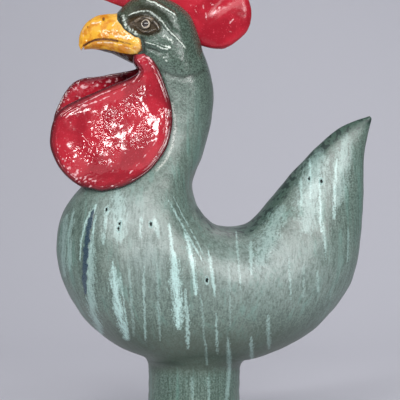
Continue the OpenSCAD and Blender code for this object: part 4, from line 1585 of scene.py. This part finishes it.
def red_glaze(name, roughness, gloss):
    """Wet red: deeper where it pooled, and rippled in patches that break a lamp into sparks.
    `gloss` is how strongly it mirrors."""
    red = Glaze(name, IOR=1.55, Roughness=roughness, Specular_IOR_Level=gloss)
    ripple = red.noise(330, 1)
    swirl = red.noise(120, 1)
    patch = red.kept("sparks") + swirl.centred(2.0)
    red.tint = red.noise(45).ramp(0.38, 0.62).blend(RED_DEEP, RED)
    red.coat(red.noise(800, 2, 0.6).ramp(0.6, 0.74), RED_LIGHT)
    red.coat(red.kept("pocket"), RED_SHADOW)
    # Dark edge of the wattles: partly glaze pooled at the edge, partly painted shade where the edge
    # turns away.
    red.coat(red.kept("edge") * 0.9, RED_EDGE_SHADE)
    # Painted highlights: a paler colour along the glint lines.
    red.coat((red.kept("glint") + ripple.centred(2.2)).ramp(0.45, 0.9, 0.0, 0.9), RED_GLINT)
    strength = patch.ramp(-0.5, 0.3, 0.0, 0.15) + patch.ramp(0.45, 0.8, 0.0, 0.8)
    return red.finish((ripple, 0.0007, strength), (swirl, 0.0006, 0.15))


comb_red = red_glaze("wet_red_comb", 0.18, 0.22)
wattle_red = red_glaze("wet_red_wattle", 0.1, 0.5)

# %% Yellow glaze
YELLOW = colour(238, 178, 54)
ORANGE = colour(216, 138, 30)
YELLOW_PALE = colour(246, 216, 136)
BROWN = colour(96, 50, 14)
KEEL_SHADE_BROWN = colour(62, 38, 24)
YELLOW_GLINT = colour(255, 240, 204)


def yellow_glaze(name):
    """Wet yellow, mottled with orange, paler at the root, with painted highlights along the glint
    lines, brown in the mouth's crease and in the nostril, and painted shade under the keel."""
    yellow = Glaze(name, IOR=1.55, Roughness=0.12)
    kept, coat = yellow.kept, yellow.coat
    mottle = yellow.noise(150, 4, 0.6)
    grain = yellow.noise(520)
    yellow.tint = mottle.ramp(0.4, 0.6).blend(ORANGE, YELLOW)
    pale = yellow.noise(80, 2).ramp(0.5, 0.68, 0.0, 0.45) + kept("root") * 0.5
    coat(pale * grain.ramp(0.3, 0.6), YELLOW_PALE)
    # Painted highlights along the glint lines.
    coat((kept("glint") + grain.centred(1.4)).ramp(0.45, 0.95, 0.0, 0.85), YELLOW_GLINT)
    # Painted shade under the keel of the lower beak.
    coat((kept("keel") + mottle.centred(0.8)).ramp(0.25, 0.9), KEEL_SHADE_BROWN)
    coat((kept("mouth") + grain.centred(0.7)).ramp(0.15, 0.9), BROWN)
    coat((kept("nostril") + grain.centred(0.4)).ramp(0.2, 0.7, 0.0, 0.9), BROWN)
    return yellow.finish((yellow.noise(210, 1), 0.0014, 0.8), (grain, 0.0001, 0.5))


beak_yellow = yellow_glaze("wet_yellow_beak")

# %% Eye and lid glazes
EYE_CREAM = colour(216, 202, 180)
EYE_BROWN = colour(44, 34, 28)
LID_BROWN = colour(58, 50, 36)
LID_RIDGE = colour(122, 104, 82)


def eye_glaze(name):
    """A cream ring round a dark brown pupil, by the distance from the pupil's middle."""
    pellet = Glaze(name, IOR=1.52, Roughness=0.12, Coat_Weight=1.0, Coat_Roughness=0.03)
    off = pellet.kept("from_pupil") + pellet.noise(900, 2).centred(0.1)
    ring = off.ramp(0.7, 0.75) * off.ramp(0.98, 0.93) * pellet.kept("in_front")
    pellet.tint = ring.blend(EYE_BROWN, EYE_CREAM)
    return pellet.finish()


def lid_glaze(name):
    """Olive brown, mottled with a paler brown."""
    lid = Glaze(name, IOR=1.5, Coat_Weight=0.5, Coat_Roughness=0.08)
    mottle = lid.noise(300, 4, 0.6)
    lid.tint = mottle.ramp(0.42, 0.62).blend(LID_BROWN, LID_RIDGE)
    lid.set(Roughness=mottle.ramp(0.3, 0.7, 0.22, 0.36))
    return lid.finish((mottle, 0.0004, 0.5))


eye_dark = eye_glaze("wet_eye")
lid_olive = lid_glaze("olive_lid")

# %% [markdown]
# ## Putting the pieces in the frame
# Every piece rides on the one body that the figure has and stands for its CAD node, which is
# hidden. Each takes the glaze listed beside it; the slot's name is listed but not used.

# %% Pieces, nodes, slots and glazes
DRESSED = [
    (pedestal, "pedestal", "green_pedestal", trunk_green),
    (body, "body", "green_body", trunk_green),
    (tail, "tail", "green_tail", trunk_green),
    (neck, "neck", "green_neck", trunk_green),
    (head, "head", "green_head", trunk_green),
    (upper_beak, "upper_beak", "yellow_beak", beak_yellow),
    (lower_beak, "lower_beak", "yellow_beak", beak_yellow),
    (comb, "comb", "red_comb", comb_red),
    (left_wattle, "left_wattle", "red_wattle", wattle_red),
    (right_wattle, "right_wattle", "red_wattle", wattle_red),
    (left_eye, "left_eye", "eye_glaze", eye_dark),
    (right_eye, "right_eye", "eye_glaze", eye_dark),
]
for node, piece in coils.items():
    finish = ("green_head", trunk_green) if "brow" in node else ("lid_glaze", lid_olive)
    DRESSED.append((piece, node, *finish))
for piece, node, slot, material in DRESSED:
    piece.data.materials.append(material)
    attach(piece, "root")
    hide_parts(node)
print("dressed pieces:", len(DRESSED))

# %% [markdown]
# ## Floor, light and camera
# The figure stands on a plain pale sweep, a floor that bends up into a backdrop. The back of the
# sweep is clear, so that the figure can be looked at from behind too. One wide lamp, high in
# front, lies as a window would and gives the satin glaze its sheen. Small lamps give the wet
# glaze its sparks.

# %% Sweep
SWEEP_W = 5.0
SWEEP_FRONT = -2.6
SWEEP_BACK = 1.6
SWEEP_BEND = 0.9
SWEEP_TOP = 3.4
FLOOR_ROWS = 12
BEND_ROWS = 40
SWEEP_COLUMNS = 9
PAPER = colour(222, 222, 230)


def sweep_mesh():
    """A profile of floor, quarter circle and wall, carried across the scene."""
    floor = join(np.linspace(SWEEP_FRONT, SWEEP_BACK - SWEEP_BEND, FLOOR_ROWS), 0)
    bend = arc((SWEEP_BACK - SWEEP_BEND, SWEEP_BEND), SWEEP_BEND, -90, 0, BEND_ROWS)
    line = np.concatenate([floor, bend[1:], [[SWEEP_BACK, SWEEP_TOP]]])
    across = np.linspace(-SWEEP_W / 2, SWEEP_W / 2, SWEEP_COLUMNS)
    points = join(across, line[:, 0, None], line[:, 1, None]).reshape(-1, 3)
    i, k = np.meshgrid(np.arange(len(line) - 1), np.arange(len(across) - 1), indexing="ij")
    start = (i * len(across) + k).ravel()
    quads = join(start, start + 1, start + 1 + len(across), start + len(across))
    return smooth_mesh("sweep", points, quads.tolist())


sweep = added("sweep", sweep_mesh())
paper = Glaze("pale_paper", Roughness=0.9, Base_Color=PAPER)
behind = add(paper.tree, "ShaderNodeNewGeometry", {}, "Backfacing")
clear = add(paper.tree, "ShaderNodeBsdfTransparent", {})
opaque = Value(paper.shader.outputs["BSDF"])
shown = add(paper.tree, "ShaderNodeMixShader", {0: behind, 1: opaque, 2: clear})
feed(paper.tree.nodes["Material Output"].inputs["Surface"], shown)
sweep.data.materials.append(paper.material)
print(f"sweep: {SWEEP_W} m wide and {SWEEP_TOP} m high")

# %% Lamps
AIM = np.array([0.0, 0.0, 0.2])


def lamp(name, place, width, height, power):
    """A soft oblong lamp that faces the figure: tilted by its height over the floor distance
    and turned by its bearing."""
    light = bpy.data.lights.new(name, "AREA")
    light.shape = "RECTANGLE"
    light.size = width
    light.size_y = height
    light.energy = power
    made = added(name, light)
    made.location = place
    way = AIM - np.array(place)
    made.rotation_euler = (math.atan2(math.hypot(way[0], way[1]), -way[2]), 0,
                           math.atan2(-way[0], way[1]))
    print(f"{name}: {width} by {height} m, {power} W")


lamp("window", (0.25, -1.32, 1.0), 1.4, 0.6, 14)
lamp("front_left", (-0.8, -1.02, 0.76), 0.15, 0.15, 2.2)
lamp("left_of_front", (-0.62, -1.24, 0.6), 0.12, 0.12, 1.6)
lamp("front", (-0.15, -1.2, 0.95), 0.15, 0.15, 2)
lamp("front_right", (0.75, -1.1, 0.75), 0.2, 0.2, 2)
lamp("upper_left", (-0.85, -0.6, 1.25), 1.0, 1.0, 2)
lamp("back_rim", (0.5, 1.0, 1.3), 0.6, 0.6, 4)

# %% World and view
WORLD_COLOUR = colour(196, 198, 204)
WORLD_STRENGTH = 0.38
world = bpy.data.worlds.new("studio")
world.use_nodes = True
background = world.node_tree.nodes["Background"]
feed(background.inputs["Color"], WORLD_COLOUR)
feed(background.inputs["Strength"], WORLD_STRENGTH)
bpy.context.scene.world = world
bpy.context.scene.view_settings.view_transform = "Standard"
print("world strength:", WORLD_STRENGTH)

# %% Camera
SENSOR_W = 36
LENS = 135
CLIP_END = 50
camera_data = bpy.data.cameras.new("camera")
camera_data.lens = LENS
camera_data.sensor_width = SENSOR_W
camera_data.clip_end = CLIP_END
camera = added("camera", camera_data)
camera.location = (VIEW_X, -VIEW_DISTANCE, VIEW_Z)
camera.rotation_euler = (math.pi / 2, 0, 0)
bpy.context.scene.camera = camera
print(f"camera: {LENS} mm lens from {VIEW_DISTANCE} m")
